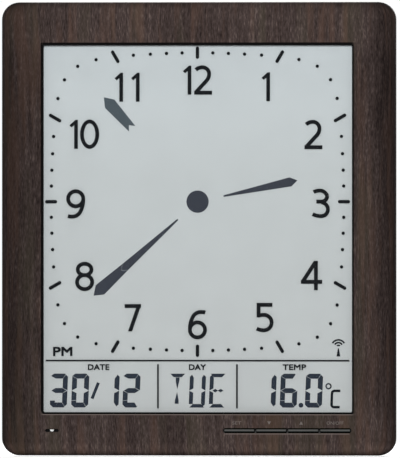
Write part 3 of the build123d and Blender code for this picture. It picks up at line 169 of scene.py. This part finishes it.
# Floor: its gap under the clock, its reach to each side, and how far in front of the clock its seam lies
floor_gap = 0.0005
floor_reach = 0.6
seam_before_clock = 0.02

# Light: how strongly the white surround lights the clock, against the white that the camera sees
surround_light = 0.14


def measured(red, green, blue):
    """Linear colour of a shade read from the photograph as 0 to 255, by the sRGB curve."""
    shade = np.array([red, green, blue]) / 255
    low = shade / 12.92
    high = ((shade + 0.055) / 1.055) ** 2.4
    return (*np.where(shade <= 0.04045, low, high).tolist(), 1.0)


def grey(shade):
    """Linear colour of a neutral grey."""
    return measured(shade, shade, shade)


class Signal:
    """One output of a shader node. Sums, differences and products of signals add Math nodes."""

    def __init__(self, recipe, socket):
        self.recipe = recipe
        self.socket = socket

    def math(self, operation, second=0.0):
        """This signal by itself, or with a second one, put through a Math node."""
        return self.recipe.node("Math", {0: self, 1: second}, operation=operation)

    def __add__(self, other):
        return self.math("ADD", other)

    def __sub__(self, other):
        return self.math("SUBTRACT", other)

    def __rsub__(self, other):
        return self.recipe.node("Math", {0: other, 1: self}, operation="SUBTRACT")

    def __mul__(self, other):
        return self.math("MULTIPLY", other)

    __radd__ = __add__
    __rmul__ = __mul__


class Recipe:
    """The shader nodes of a material or of the world."""

    def __init__(self, owner):
        owner.use_nodes = True
        self.tree = owner.node_tree
        self.tree.nodes.clear()

    def node(self, kind, inputs=None, output=0, stops=None, **settings):
        """Adds a shader node: its settings and a ramp's stops first, then its sockets' values or links.

        A node that ends a tree has no output, and gives nothing back.
        """
        made = self.tree.nodes.new("ShaderNode" + kind)
        for name, value in settings.items():
            setattr(made, name, value)
        for stop, (position, colour) in enumerate(stops or ()):
            if stop >= len(made.color_ramp.elements):
                made.color_ramp.elements.new(position)
            made.color_ramp.elements[stop].position = position
            made.color_ramp.elements[stop].color = colour
        for key, value in (inputs or {}).items():
            if isinstance(value, Signal):
                self.tree.links.new(value.socket, made.inputs[key])
            else:
                made.inputs[key].default_value = value
        if made.outputs:
            return Signal(self, made.outputs[output])

    def ramp(self, value, low, high, first=0.0, last=1.0):
        """Goes from first to last as the value goes from low to high, and stays there beyond them."""
        return self.node("MapRange", {
            "Value": value,
            "From Min": low,
            "From Max": high,
            "To Min": first,
            "To Max": last,
        })

    def blend(self, first, second, factor):
        """One colour changing into another by a factor."""
        return self.node(
            "Mix",
            {MIX_FACTOR: factor, MIX_FIRST: first, MIX_SECOND: second},
            output=MIX_RESULT,
            data_type="RGBA",
        )


class Finish(Recipe):
    """One material, built on a piece's Object coordinates."""

    def __init__(self, name):
        self.material = bpy.data.materials.new(name)
        super().__init__(self.material)
        self.place = self.node("TexCoord", output="Object")

    def axis(self, name):
        """Distance along X, Y or Z."""
        return self.node("SeparateXYZ", {0: self.place}, output=name)

    def stretched(self, scale, at=None, start=(0.0, 0.0, 0.0)):
        """Coordinates scaled along each axis and moved to a start of their own."""
        return self.node("Mapping", {"Vector": at or self.place, "Location": start, "Scale": scale})

    def noise(self, scale, at=None, detail=3.0, roughness=0.55):
        """Cloudy noise from 0 to 1, so many waves to the metre."""
        return self.node("TexNoise", {
            "Vector": at or self.place,
            "Scale": scale,
            "Detail": detail,
            "Roughness": roughness,
        })

    def grain(self, waves, at=None, start=(0.0, 0.0, 0.0), detail=3.0, roughness=0.55):
        """Noise with its own number of waves to the metre along each axis."""
        return self.noise(1.0, self.stretched(waves, at, start), detail, roughness)

    def relief(self, height, depth, strength):
        """Bumps so many metres deep where the height goes from 0 to 1."""
        return self.node(
            "Bump",
            {"Height": height, "Distance": depth, "Strength": strength},
            output="Normal",
        )

    def surface(self, **inputs):
        """The plastic, metal or glass that ends the tree. Underscores in socket names stand for spaces."""
        sockets = {name.replace("_", " "): value for name, value in inputs.items()}
        self.node("OutputMaterial", {"Surface": self.node("BsdfPrincipled", sockets)})
        return self.material


def film_place(wood, depth):
    """Coordinates of the wood film, which wanders sideways and goes on over the rounded sides."""
    across = wood.axis("X")
    reach = across.math("ABSOLUTE")
    folded = depth * wood.ramp(reach, *folding_side) * across.math("SIGN")
    wander = wood.grain(wander_waves, detail=2.0) - 0.5
    return wood.node("CombineXYZ", {0: across + folded + wander * wander_width, 1: 0.0, 2: wood.axis("Z")})


def painted_light_on_film(wood, across, along, depth):
    """Painted light and shade, as a gain on the film's colour: paler above and below the window, darker at
    the sides.
    """
    reach = across.math("ABSOLUTE")
    middle = wood.ramp(reach, *beside_window, 1.0, 0.35)
    above = wood.ramp(along, *above_window, 0.0, 0.70) * middle
    below = wood.ramp(along, *below_window, 0.0, 0.34) * middle
    brow = wood.ramp(along, *outer_edge, 0.0, -0.50)
    foot = wood.ramp(along * -1.0, *outer_edge, 0.0, 1.10)
    sides = wood.ramp(reach, *rounded_edge, 0.10, -0.20)
    right = wood.ramp(across, *right_bar, 0.0, 0.18)
    folds = wood.ramp(depth, *folded_depth, 0.0, -0.45)
    return above + below + brow + foot + sides + right + folds + 1.0


def with_painted_bevel_light(wood, colour, across, along):
    """Painted light on the opening's bevel: a painted highlight below the window, painted shade above it and
    at its left, plain at the right.
    """
    reach = across.math("ABSOLUTE")
    height = along.math("ABSOLUTE")
    beyond = (reach - opening_side).math("MAXIMUM", height - opening_top)
    bevel = wood.ramp(beyond, *bevel_start) * wood.ramp(beyond, *bevel_end, 1.0, 0.0)
    lower = wood.ramp(reach * (-1 / opening_side) - along * (1 / opening_top), *bevel_corner)
    at_right = across * (1 / opening_side) - height * (1 / opening_top)
    elsewhere = wood.ramp(at_right, *bevel_corner, 1.0, 0.0)
    # Dark for the painted shade above and at the left, pale for the painted highlight below
    shade = wood.blend(measured(18, 15, 14), measured(108, 97, 93), lower)
    return wood.blend(colour, shade, bevel * elsewhere)


def with_painted_lip_highlight(wood, colour, across, along):
    """A painted highlight on the lip under the slot of the keys."""
    slot_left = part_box("mode_key")[0].x
    slot_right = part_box("alarm_key")[1].x
    after_left = wood.ramp(across, slot_left, slot_left + lip_fade)
    before_right = wood.ramp(across, slot_right - lip_fade, slot_right, 1.0, 0.0)
    above_foot = wood.ramp(along, *lip_foot)
    below_head = wood.ramp(along, *lip_head, 1.0, 0.0)
    lip = after_left * before_right * (above_foot * below_head)
    return wood.blend(colour, measured(112, 103, 99), lip * 0.8)


def printed_wood_with_painted_light():
    """Dark wood film: upright streaks that wander, olive and red-brown bands, fine fibres, with painted light
    and shade over it.
    """
    wood = Finish("printed dark wood with painted light and shade")
    across = wood.axis("X")
    along = wood.axis("Z")
    depth = wood.axis("Y") - front_face
    place = film_place(wood, depth)
    bands = wood.grain(band_waves, place, band_start)
    streaks = wood.grain(streak_waves, place, detail=5.0, roughness=0.72)
    fibres = wood.grain(fibre_waves, place, detail=2.0, roughness=0.6)
    redness = wood.grain(red_waves, place, red_start)
    olive = wood.grain(olive_waves, place, olive_start, detail=2.0)
    tone = bands * 0.22 + streaks * 0.38 + fibres * 0.40
    colour = wood.node("ValToRGB", {0: tone}, stops=[
        (0.38, measured(28, 22, 21)),
        (0.47, measured(46, 38, 36)),
        (0.53, measured(56, 47, 45)),
        (0.63, measured(84, 73, 69)),
    ])
    colour = wood.blend(colour, measured(54, 50, 40), wood.ramp(olive, *tint_span, 0.0, 0.35))
    colour = wood.blend(colour, measured(80, 60, 50), wood.ramp(redness, *tint_span, 0.0, 0.30))
    # Painted light and shade: the film's colour scaled by place
    painted_light_gain = painted_light_on_film(wood, across, along, depth)
    colour = wood.node("VectorMath", {0: colour, "Scale": painted_light_gain}, operation="SCALE")
    # Painted highlight and shade on the opening's bevel, and a painted highlight on the lip under the key
    # slot
    colour = with_painted_bevel_light(wood, colour, across, along)
    colour = with_painted_lip_highlight(wood, colour, across, along)
    return wood.surface(
        Base_Color=colour,
        Roughness=wood.ramp(streaks, *noise_span, 0.62, 0.50),
        Normal=wood.relief(streaks * 0.6 + fibres * 0.4, 0.00006, 0.6),
        Specular_IOR_Level=0.01,
    )


def moulded(name, dark, light, grain=1400.0, depth=0.00004, rough=0.5, gloss=0.5):
    """Moulded plastic: a spark-etched grain in its relief, and a slow change in its shade."""
    plastic = Finish(name)
    slow = plastic.noise(28.0, detail=2.0)
    etched = plastic.noise(grain, detail=2.0, roughness=0.5)
    shade = plastic.ramp(slow * 0.6 + etched * 0.4, *summed_span)
    return plastic.surface(
        Base_Color=plastic.blend(dark, light, shade),
        Roughness=plastic.ramp(etched, *noise_span, rough + 0.06, rough - 0.06),
        Normal=plastic.relief(etched, depth, 0.5),
        Specular_IOR_Level=gloss,
    )


def keys_with_painted_shade():
    """Fine-grained grey keys, grey only in a band across each face; the black round it is painted shade of
    slot and gaps.
    """
    plastic = Finish("grey keys with painted slot shade")
    across = plastic.axis("X")
    etched = plastic.noise(2200.0, detail=2.0)
    slow = plastic.noise(90.0, detail=2.0)
    band_grey = plastic.blend(measured(80, 81, 79), measured(92, 93, 91), slow)
    # Black is painted shade: the slot round the grey band, deeper than the key's face
    black = plastic.blend(grey(4), grey(8), etched)
    face = plastic.ramp(plastic.axis("Y"), key_face + grey_band_depth, key_face + 2 * grey_band_depth, 1.0, 0.0)
    off = (plastic.axis("Z") - grey_band_middle).math("ABSOLUTE")
    grey_band = plastic.ramp(off, grey_band_half_height - grey_band_edge, grey_band_half_height + grey_band_edge, 1.0, 0.0)
    # Each key's ends, one rim wide, stay black as painted shade of the gaps between the keys
    caps = 0.0
    for key in key_names:
        low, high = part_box(key)
        after_left = plastic.ramp(across, low.x + key_rim, low.x + 2 * key_rim)
        after_right = plastic.ramp(across, high.x - 2 * key_rim, high.x - key_rim)
        caps = after_left - after_right + caps
    return plastic.surface(
        Base_Color=plastic.blend(black, band_grey, face * grey_band * caps),
        Roughness=plastic.ramp(etched, *noise_span, 0.62, 0.54),
        Normal=plastic.relief(etched, 0.00002, 0.5),
        Specular_IOR_Level=0.03,
    )


def clear_sheet(name, colour, alpha, rough=0.04):
    """Polished clear sheet: faint waves in its face, and a little haze."""
    sheet = Finish(name)
    waves = sheet.noise(7.0, detail=2.0)
    haze = sheet.noise(60.0)
    return sheet.surface(
        Base_Color=colour,
        Alpha=sheet.ramp(haze, *noise_span, alpha * 0.9, alpha * 1.1),
        Roughness=sheet.ramp(haze, *noise_span, rough, rough + 0.03),
        Normal=sheet.relief(waves, 0.00005, 0.2),
        Specular_IOR_Level=0.15,
    )


def silver_back_with_painted_light():
    """The display's back glass with its silver film: a fine grain, and painted light that makes it paler and
    cooler towards the top.
    """
    film = Finish("silvered display glass with painted light")
    grain = film.noise(2600.0, detail=2.0)
    height = film.axis("Z")
    painted_light_to_middle = film.ramp(height, *silver_lower)
    painted_light_to_top = film.ramp(height, *silver_upper)
    tone = film.blend(measured(207, 212, 212), measured(213, 220, 221), painted_light_to_middle)
    tone = film.blend(tone, measured(224, 233, 236), painted_light_to_top)
    speckle = film.ramp(grain, *noise_span, 0.965, 1.0)
    return film.surface(
        Base_Color=film.blend(tone, measured(190, 196, 197), 1.0 - speckle),
        Roughness=film.ramp(grain, *noise_span, 0.62, 0.55),
        Normal=film.relief(grain, 0.00001, 0.3),
        Specular_IOR_Level=0.1,
    )


def lit_liquid():
    """Turned crystal in the segments: blue-grey, deeper in the digits, paler in the seconds arrow."""
    liquid = Finish("lit segments")
    across = liquid.axis("X")
    up = liquid.axis("Z")
    in_strip = liquid.ramp(up, *strip_head, 1.0, 0.0)
    in_mast = liquid.ramp(across, *mast_side) * liquid.ramp(up, *mast_head, 1.0, 0.0)
    in_arrow = liquid.ramp(up - across, *arrow_start)
    tone = liquid.noise(900.0, detail=2.0)
    hands = liquid.blend(measured(60, 64, 74), measured(70, 75, 84), tone)
    hands = liquid.blend(hands, measured(86, 97, 104), in_arrow)
    figures = liquid.blend(measured(36, 43, 54), measured(58, 66, 78), tone)
    colour = liquid.blend(hands, figures, in_strip)
    return liquid.surface(
        Base_Color=liquid.blend(colour, measured(24, 28, 33), in_mast),
        Roughness=liquid.ramp(tone, *noise_span, 0.7, 0.6),
        Specular_IOR_Level=0.04,
    )


def dark_ink():
    """Screen-printed ink: nearly black, a little thinner in places."""
    ink = Finish("dial ink")
    cover = ink.noise(1800.0, detail=2.0)
    return ink.surface(
        Base_Color=ink.blend(measured(18, 20, 23), measured(30, 33, 36), cover),
        Roughness=ink.ramp(cover, *noise_span, 0.7, 0.6),
        Specular_IOR_Level=0.04,
    )


def drawn_metal(name, dark, light, rough=0.35):
    """Plated or drawn metal: fine lines one way, and a dull bloom."""
    metal = Finish(name)
    lines = metal.grain((300.0, 300.0, 2600.0))
    bloom = metal.noise(220.0)
    return metal.surface(
        Base_Color=metal.blend(dark, light, bloom),
        Metallic=1.0,
        Roughness=metal.ramp(lines * 0.5 + bloom * 0.5, *summed_span, rough - 0.08, rough + 0.10),
        Normal=metal.relief(lines, 0.000012, 0.4),
    )


def layered(name, first, second, pitch, rough=0.5):
    """Two shades that take turns along X, so many metres apart."""
    stack = Finish(name)
    wave = (stack.axis("X") * (2 * math.pi / pitch)).math("SINE")
    share = stack.ramp(wave, -0.3, 0.3)
    return stack.surface(
        Base_Color=stack.blend(first, second, share),
        Roughness=stack.ramp(stack.noise(500.0), *noise_span, rough, rough + 0.1),
        Normal=stack.relief(share, 0.00003, 0.4),
    )


def circuit_board(name, lacquer, track):
    """Lacquer over copper: the tracks show as paler lines in a coarse grid."""
    board = Finish(name)
    cells = board.node(
        "TexVoronoi",
        {"Vector": board.stretched((260.0, 20.0, 260.0)), "Scale": 1.0},
        distance="MANHATTAN",
        feature="DISTANCE_TO_EDGE",
    )
    tracks = board.ramp(cells, 0.05, 0.09, 1.0, 0.0)
    weave = board.noise(1300.0, detail=2.0)
    coat = board.blend(lacquer, grey(0), board.ramp(weave, *noise_span, 0.25, 0.0))
    return board.surface(
        Base_Color=board.blend(coat, track, tracks),
        Roughness=board.ramp(weave, *noise_span, 0.34, 0.26),
        Normal=board.relief(tracks, 0.00004, 0.6),
    )


def cell_wrapper():
    """Battery sleeve: plain dark blue film with a silver band near one end."""
    wrapper = Finish("cell sleeve")
    band = wrapper.ramp(wrapper.axis("X"), *sleeve_band)
    shrink = wrapper.noise(700.0)
    return wrapper.surface(
        Base_Color=wrapper.blend(measured(34, 62, 118), measured(188, 190, 192), band),
        Metallic=wrapper.ramp(band, 0.0, 1.0, 0.15, 0.85),
        Roughness=wrapper.ramp(shrink, *noise_span, 0.36, 0.28),
        Normal=wrapper.relief(shrink, 0.00002, 0.3),
    )


def white_floor():
    """Pale floor that keeps the shadow: white to the camera, greyer to other light, clear from below."""
    pale_floor = Finish("pale floor")
    seen = pale_floor.node("LightPath", output="Is Camera Ray")
    mottle = pale_floor.noise(3.0)
    pale = pale_floor.blend(grey(208), grey(214), mottle)
    shade = pale_floor.node("BsdfPrincipled", {
        "Base Color": pale_floor.blend(pale, grey(255), seen),
        "Roughness": pale_floor.ramp(mottle, *noise_span, 0.85, 0.8),
        "Specular IOR Level": 0.2,
        "Emission Color": pale_floor.blend(grey(0), grey(255), seen),
        "Emission Strength": 0.4,
    })
    under = pale_floor.node("NewGeometry", output="Backfacing")
    clear = pale_floor.node("BsdfTransparent")
    either_side = pale_floor.node("MixShader", {0: under, 1: shade, 2: clear})
    pale_floor.node("OutputMaterial", {"Surface": either_side})
    return pale_floor.material


finishes = {
    "wood_print": printed_wood_with_painted_light(),
    "trim_black": moulded("black trim", grey(6), grey(11), 2400.0, 0.00001, 0.6, 0.04),
    "clear_plastic": clear_sheet("clear lens", measured(30, 33, 33), 0.02),
    "polariser": clear_sheet("polariser film", measured(34, 38, 37), 0.03, 0.06),
    "display_glass": clear_sheet("display glass", measured(40, 46, 44), 0.02),
    "seal": moulded("epoxy seal", measured(150, 150, 146), measured(176, 175, 170), 900.0),
    "lit_segments": lit_liquid(),
    "dial_ink": dark_ink(),
    "reflector": silver_back_with_painted_light(),
    "black_plastic": moulded(
        "black moulding", measured(24, 24, 25), measured(34, 34, 36), 1500.0, 0.00007, gloss=0.35,
    ),
    "foam": moulded("black foam", grey(26), grey(40), 2200.0, 0.0002, 0.85, 0.2),
    "contact_rubber": layered("layered rubber", measured(36, 36, 38), measured(150, 150, 148), 0.0004),
    "screw_steel": drawn_metal("zinc-plated steel", measured(170, 172, 176), measured(206, 206, 208)),
    "board": circuit_board("green board", measured(26, 88, 52), measured(62, 128, 78)),
    "resin": moulded("black resin", grey(14), grey(24), 300.0, 0.00006, 0.2),
    "can": drawn_metal("drawn can", measured(176, 178, 182), measured(206, 208, 210), 0.28),
    "bead": moulded("dipped bead", measured(14, 18, 34), measured(26, 30, 50), 400.0, 0.00002, 0.25),
    "switch_black": moulded("switch plastic", grey(20), measured(30, 30, 31), 1800.0, 0.00002, 0.4),
    "key_grey": keys_with_painted_shade(),
    "ribbon": layered("flat cable", measured(150, 150, 152), measured(186, 186, 188), 0.00127),
    "light_guide": moulded(
        "milky light guide", measured(232, 234, 232), measured(246, 247, 246), 600.0, 0.00001, 0.2,
    ),
    "sensor_chip": moulded(
        "sensor chip", measured(30, 24, 26), measured(44, 36, 38), 900.0, 0.00001, 0.18,
    ),
    "cell_sleeve": cell_wrapper(),
    "nickel": drawn_metal("nickel plating", measured(196, 190, 178), measured(222, 217, 206), 0.24),
    "lead_red": moulded(
        "red insulation", measured(150, 16, 18), measured(176, 26, 26), 900.0, 0.00002, 0.45,
    ),
    "lead_black": moulded(
        "black insulation", measured(20, 20, 21), measured(34, 34, 35), 900.0, 0.00002, 0.45,
    ),
    "ferrite": moulded("ferrite", measured(48, 48, 50), measured(66, 66, 68), 2600.0, 0.00005, 0.6),
    "copper_winding": layered(
        "copper winding", measured(120, 52, 24), measured(196, 108, 62), 0.00035, 0.3,
    ),
    "buzzer_brass": drawn_metal("buzzer brass", measured(196, 158, 84), measured(222, 186, 110), 0.26),
}


def dress():
    """Gives each node of the model the finish of its slot, and three of them a finish of their own."""
    for node in nodes.values():
        slot = node.data.materials[0].name
        node.data.materials[0] = finishes[slot]
    black_board = circuit_board("black board", measured(14, 15, 14), measured(26, 28, 26))
    nodes["lcd_rear_glass"].data.materials[0] = finishes["reflector"]
    nodes["key_board"].data.materials[0] = black_board
    nodes["sensor_holder"].data.materials[0] = finishes["trim_black"]


def piece(name, points, faces, finish, body="case"):
    """A new piece whose place is in its mesh, riding on a body."""
    mesh = bpy.data.meshes.new(name)
    mesh.from_pydata(points, [], faces)
    mesh.validate()
    mesh.update()
    made = bpy.data.objects.new(name, mesh)
    bpy.context.scene.collection.objects.link(made)
    mesh.materials.append(finish)
    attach(made, body)
    return made


def letters(name, text):
    """Points and faces of a text, its box stretched to run from 0 to 1 along each axis."""
    curve = bpy.data.curves.new(name, "FONT")
    curve.body = text
    curve.extrude = 0.5
    curve.resolution_u = 3
    drawn = bpy.data.objects.new(name, curve)
    bpy.context.scene.collection.objects.link(drawn)
    bpy.context.view_layer.update()
    mesh = bpy.data.meshes.new_from_object(drawn)
    bpy.data.objects.remove(drawn)
    flat = np.zeros(len(mesh.vertices) * 3)
    mesh.vertices.foreach_get("co", flat)
    flat = flat.reshape(-1, 3)
    faces = [tuple(polygon.vertices) for polygon in mesh.polygons]
    bpy.data.meshes.remove(mesh)
    low = flat.min(0)
    high = flat.max(0)
    return (flat - low) / (high - low), faces


def word(name, text, box, face, finish, boldness=0.0):
    """Text as thin solid ink, fitted to a box on an upright plane.

    box is (left, right, foot, head), and the ink stands from the face to one thickness in front of it. Bold
    ink is laid four times, moved by its boldness to each corner, every layer a little thinner than the last.
    """
    share, faces = letters(name, text)
    left, right, foot, head = box
    width = right - left - 2 * boldness
    height = head - foot - 2 * boldness
    shifts = ((0, 0), (2, 0), (0, 2), (2, 2)) if boldness else ((0, 0),)
    points = []
    walls = []
    for layer, (aside, up) in enumerate(shifts):
        depth = ink_thickness * (1 - 0.1 * layer)
        start = len(points)
        points.extend(np.column_stack([
            left + aside * boldness + share[:, 0] * width,
            face - share[:, 2] * depth,
            foot + up * boldness + share[:, 1] * height,
        ]))
        walls.extend(tuple(start + corner for corner in wall) for wall in faces)
    return piece(name, points, walls, finish)


def ring_walls(rings, corners):
    """Faces that join rings of corner points one after another, and close the first and last ring."""
    start = np.arange(rings - 1)[:, None] * corners
    here = np.arange(corners)[None, :]
    after = (here + 1) % corners
    walls = np.stack([
        start + here,
        start + after,
        start + corners + after,
        start + corners + here,
    ], axis=-1)
    last = (rings - 1) * corners
    return [
        tuple(range(corners))[::-1],
        *map(tuple, walls.reshape(-1, 4).tolist()),
        tuple(range(last, last + corners)),
    ]


def bonded_sheet(name, layers, finish):
    """Flat boxes bonded face to face as one clear body, so that light meets no wall between them.

    Each layer is a node's box. Its four corners, eased inwards by a small bevel at both faces, are repeated
    front and back, and the rings are joined in order of depth.
    """
    rings = []
    bevel = 0.0001
    for layer in layers:
        low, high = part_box(layer)
        eased = (
            (low.y, bevel),
            (low.y + bevel / 2, 0.0),
            (high.y - bevel / 2, 0.0),
            (high.y, bevel),
        )
        for depth, inset in eased:
            left = low.x + inset
            right = high.x - inset
            foot = low.z + inset
            head = high.z - inset
            rings.append([
                (left, depth, foot),
                (left, depth, head),
                (right, depth, head),
                (right, depth, foot),
            ])
    points = np.array(rings)
    walls = ring_walls(len(rings), points.shape[1])
    made = piece(name, points.reshape(-1, 3), walls, finish)
    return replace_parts(made, *layers)


def printed_words():
    """The generic words on the display, in the dial's ink."""
    face = print_face + ink_thickness
    for name, (text, box, boldness) in display_words.items():
        word(name, text, box, face, finishes["dial_ink"], boldness)


def key_legends():
    """Faint grey legends above the keys: a word, a mark down, a mark up, and a word.

    A mark is one triangle, set at the face and repeated one thickness of ink in front of it.
    """
    paint = moulded(
        "legend paint", measured(98, 91, 88), measured(112, 105, 101), 1500.0, 0.00001, 0.6, 0.08,
    )
    foot, head = legend_line
    face = front_face + ink_thickness * 0.6
    for name, (text, sides) in legend_words.items():
        word(name, text, (*sides, foot, head), face, paint)
    middle = (foot + head) / 2
    reach = (head - foot) / 2
    for name, (centre, turned) in legend_marks.items():
        triangle = np.array([(-1.0, -1.0), (1.0, -1.0), (0.0, 1.0)])
        corners = triangle * (mark_width * reach, reach * turned) + (centre, middle)
        near = np.insert(corners, 1, face - ink_thickness, axis=1)
        far = np.insert(corners, 1, face, axis=1)
        faces = [(0, 1, 2), (5, 4, 3), (0, 3, 4, 1), (1, 4, 5, 2), (2, 5, 3, 0)]
        if turned < 0:
            faces = [row[::-1] for row in faces]
        piece(name, np.concatenate([near, far]), faces, paint)


def floor(name, near, far, finish):
    """A level sheet just under the clock, between two depths."""
    under = body_low.z - floor_gap
    corners = [
        (-floor_reach, near, under),
        (floor_reach, near, under),
        (floor_reach, far, under),
        (-floor_reach, far, under),
    ]
    mesh = bpy.data.meshes.new(name)
    mesh.from_pydata(corners, [], [(0, 1, 2, 3)])
    mesh.materials.append(finish)
    made = bpy.data.objects.new(name, mesh)
    bpy.context.scene.collection.objects.link(made)
    return made


def lamp(name, place, size, power):
    """A soft rectangular lamp that faces the clock."""
    light = bpy.data.lights.new(name, "AREA")
    light.shape = "RECTANGLE"
    light.size, light.size_y = size
    light.energy = power
    made = bpy.data.objects.new(name, light)
    made.location = place
    made.rotation_euler = (-Vector(place)).to_track_quat("-Z", "Y").to_euler()
    made.visible_camera = False
    bpy.context.scene.collection.objects.link(made)


def surround():
    """White all round: full white to the camera, to reflections and through clear sheets, soft otherwise."""
    world = bpy.data.worlds.new("surround")
    bpy.context.scene.world = world
    white = Recipe(world)
    to_camera = white.node("LightPath", output="Is Camera Ray")
    reflected = white.node("LightPath", output="Is Glossy Ray")
    through_sheets = white.node("LightPath", output="Is Transmission Ray")
    seen = to_camera.math("MAXIMUM", reflected).math("MAXIMUM", through_sheets)
    light = white.node("Background", {
        "Color": grey(255),
        "Strength": white.ramp(seen, 0.0, 1.0, surround_light, 1.0),
    })
    white.node("OutputWorld", {"Surface": light})


def studio():
    """Pale floor under the clock, soft lamps in front, above and behind, and a white surround.

    The floor in front of the clock is a sheet of its own that the camera doesn't see, so that it lies over
    nothing when the clock is seen from below.
    """
    seam = front_face - seam_before_clock
    pale = white_floor()
    floor("floor", seam, floor_reach, pale)
    front_floor = floor("front floor", -floor_reach, seam, pale)
    front_floor.visible_camera = False
    lamp("front light", place=(0.12, -2.6, 0.50), size=(0.8, 0.5), power=46.0)
    lamp("overhead light", place=(0.0, -0.20, 1.40), size=(1.2, 0.3), power=9.0)
    lamp("back light", place=(0.0, 2.3, 0.7), size=(1.4, 0.8), power=40.0)
    surround()


def camera():
    """Looks level at the clock from far away, a little to its right, and frames it as the photograph does."""
    right = (frame_centre_in_photo[0] - body_centre_in_photo[0]) * pixel
    down = (frame_centre_in_photo[1] - body_centre_in_photo[1]) * pixel
    target = Vector((right, outline_depth, -down))
    away = Vector((math.sin(camera_turn), -math.cos(camera_turn), 0.0)) * camera_distance
    data = bpy.data.cameras.new("camera")
    data.sensor_width = camera_sensor
    data.lens = camera_sensor * camera_distance / (photo_height * pixel)
    data.clip_end = 100.0
    made = bpy.data.objects.new("camera", data)
    made.location = target + away
    made.rotation_euler = (-away).to_track_quat("-Z", "Y").to_euler()
    bpy.context.scene.collection.objects.link(made)
    bpy.context.scene.camera = made


dress()
clear_layers = ("lcd_front_polariser", "lcd_front_glass")
bonded_sheet("display_front_sheet", clear_layers, finishes["polariser"])
printed_words()
key_legends()
studio()
camera()
bpy.context.scene.view_settings.view_transform = "Standard"
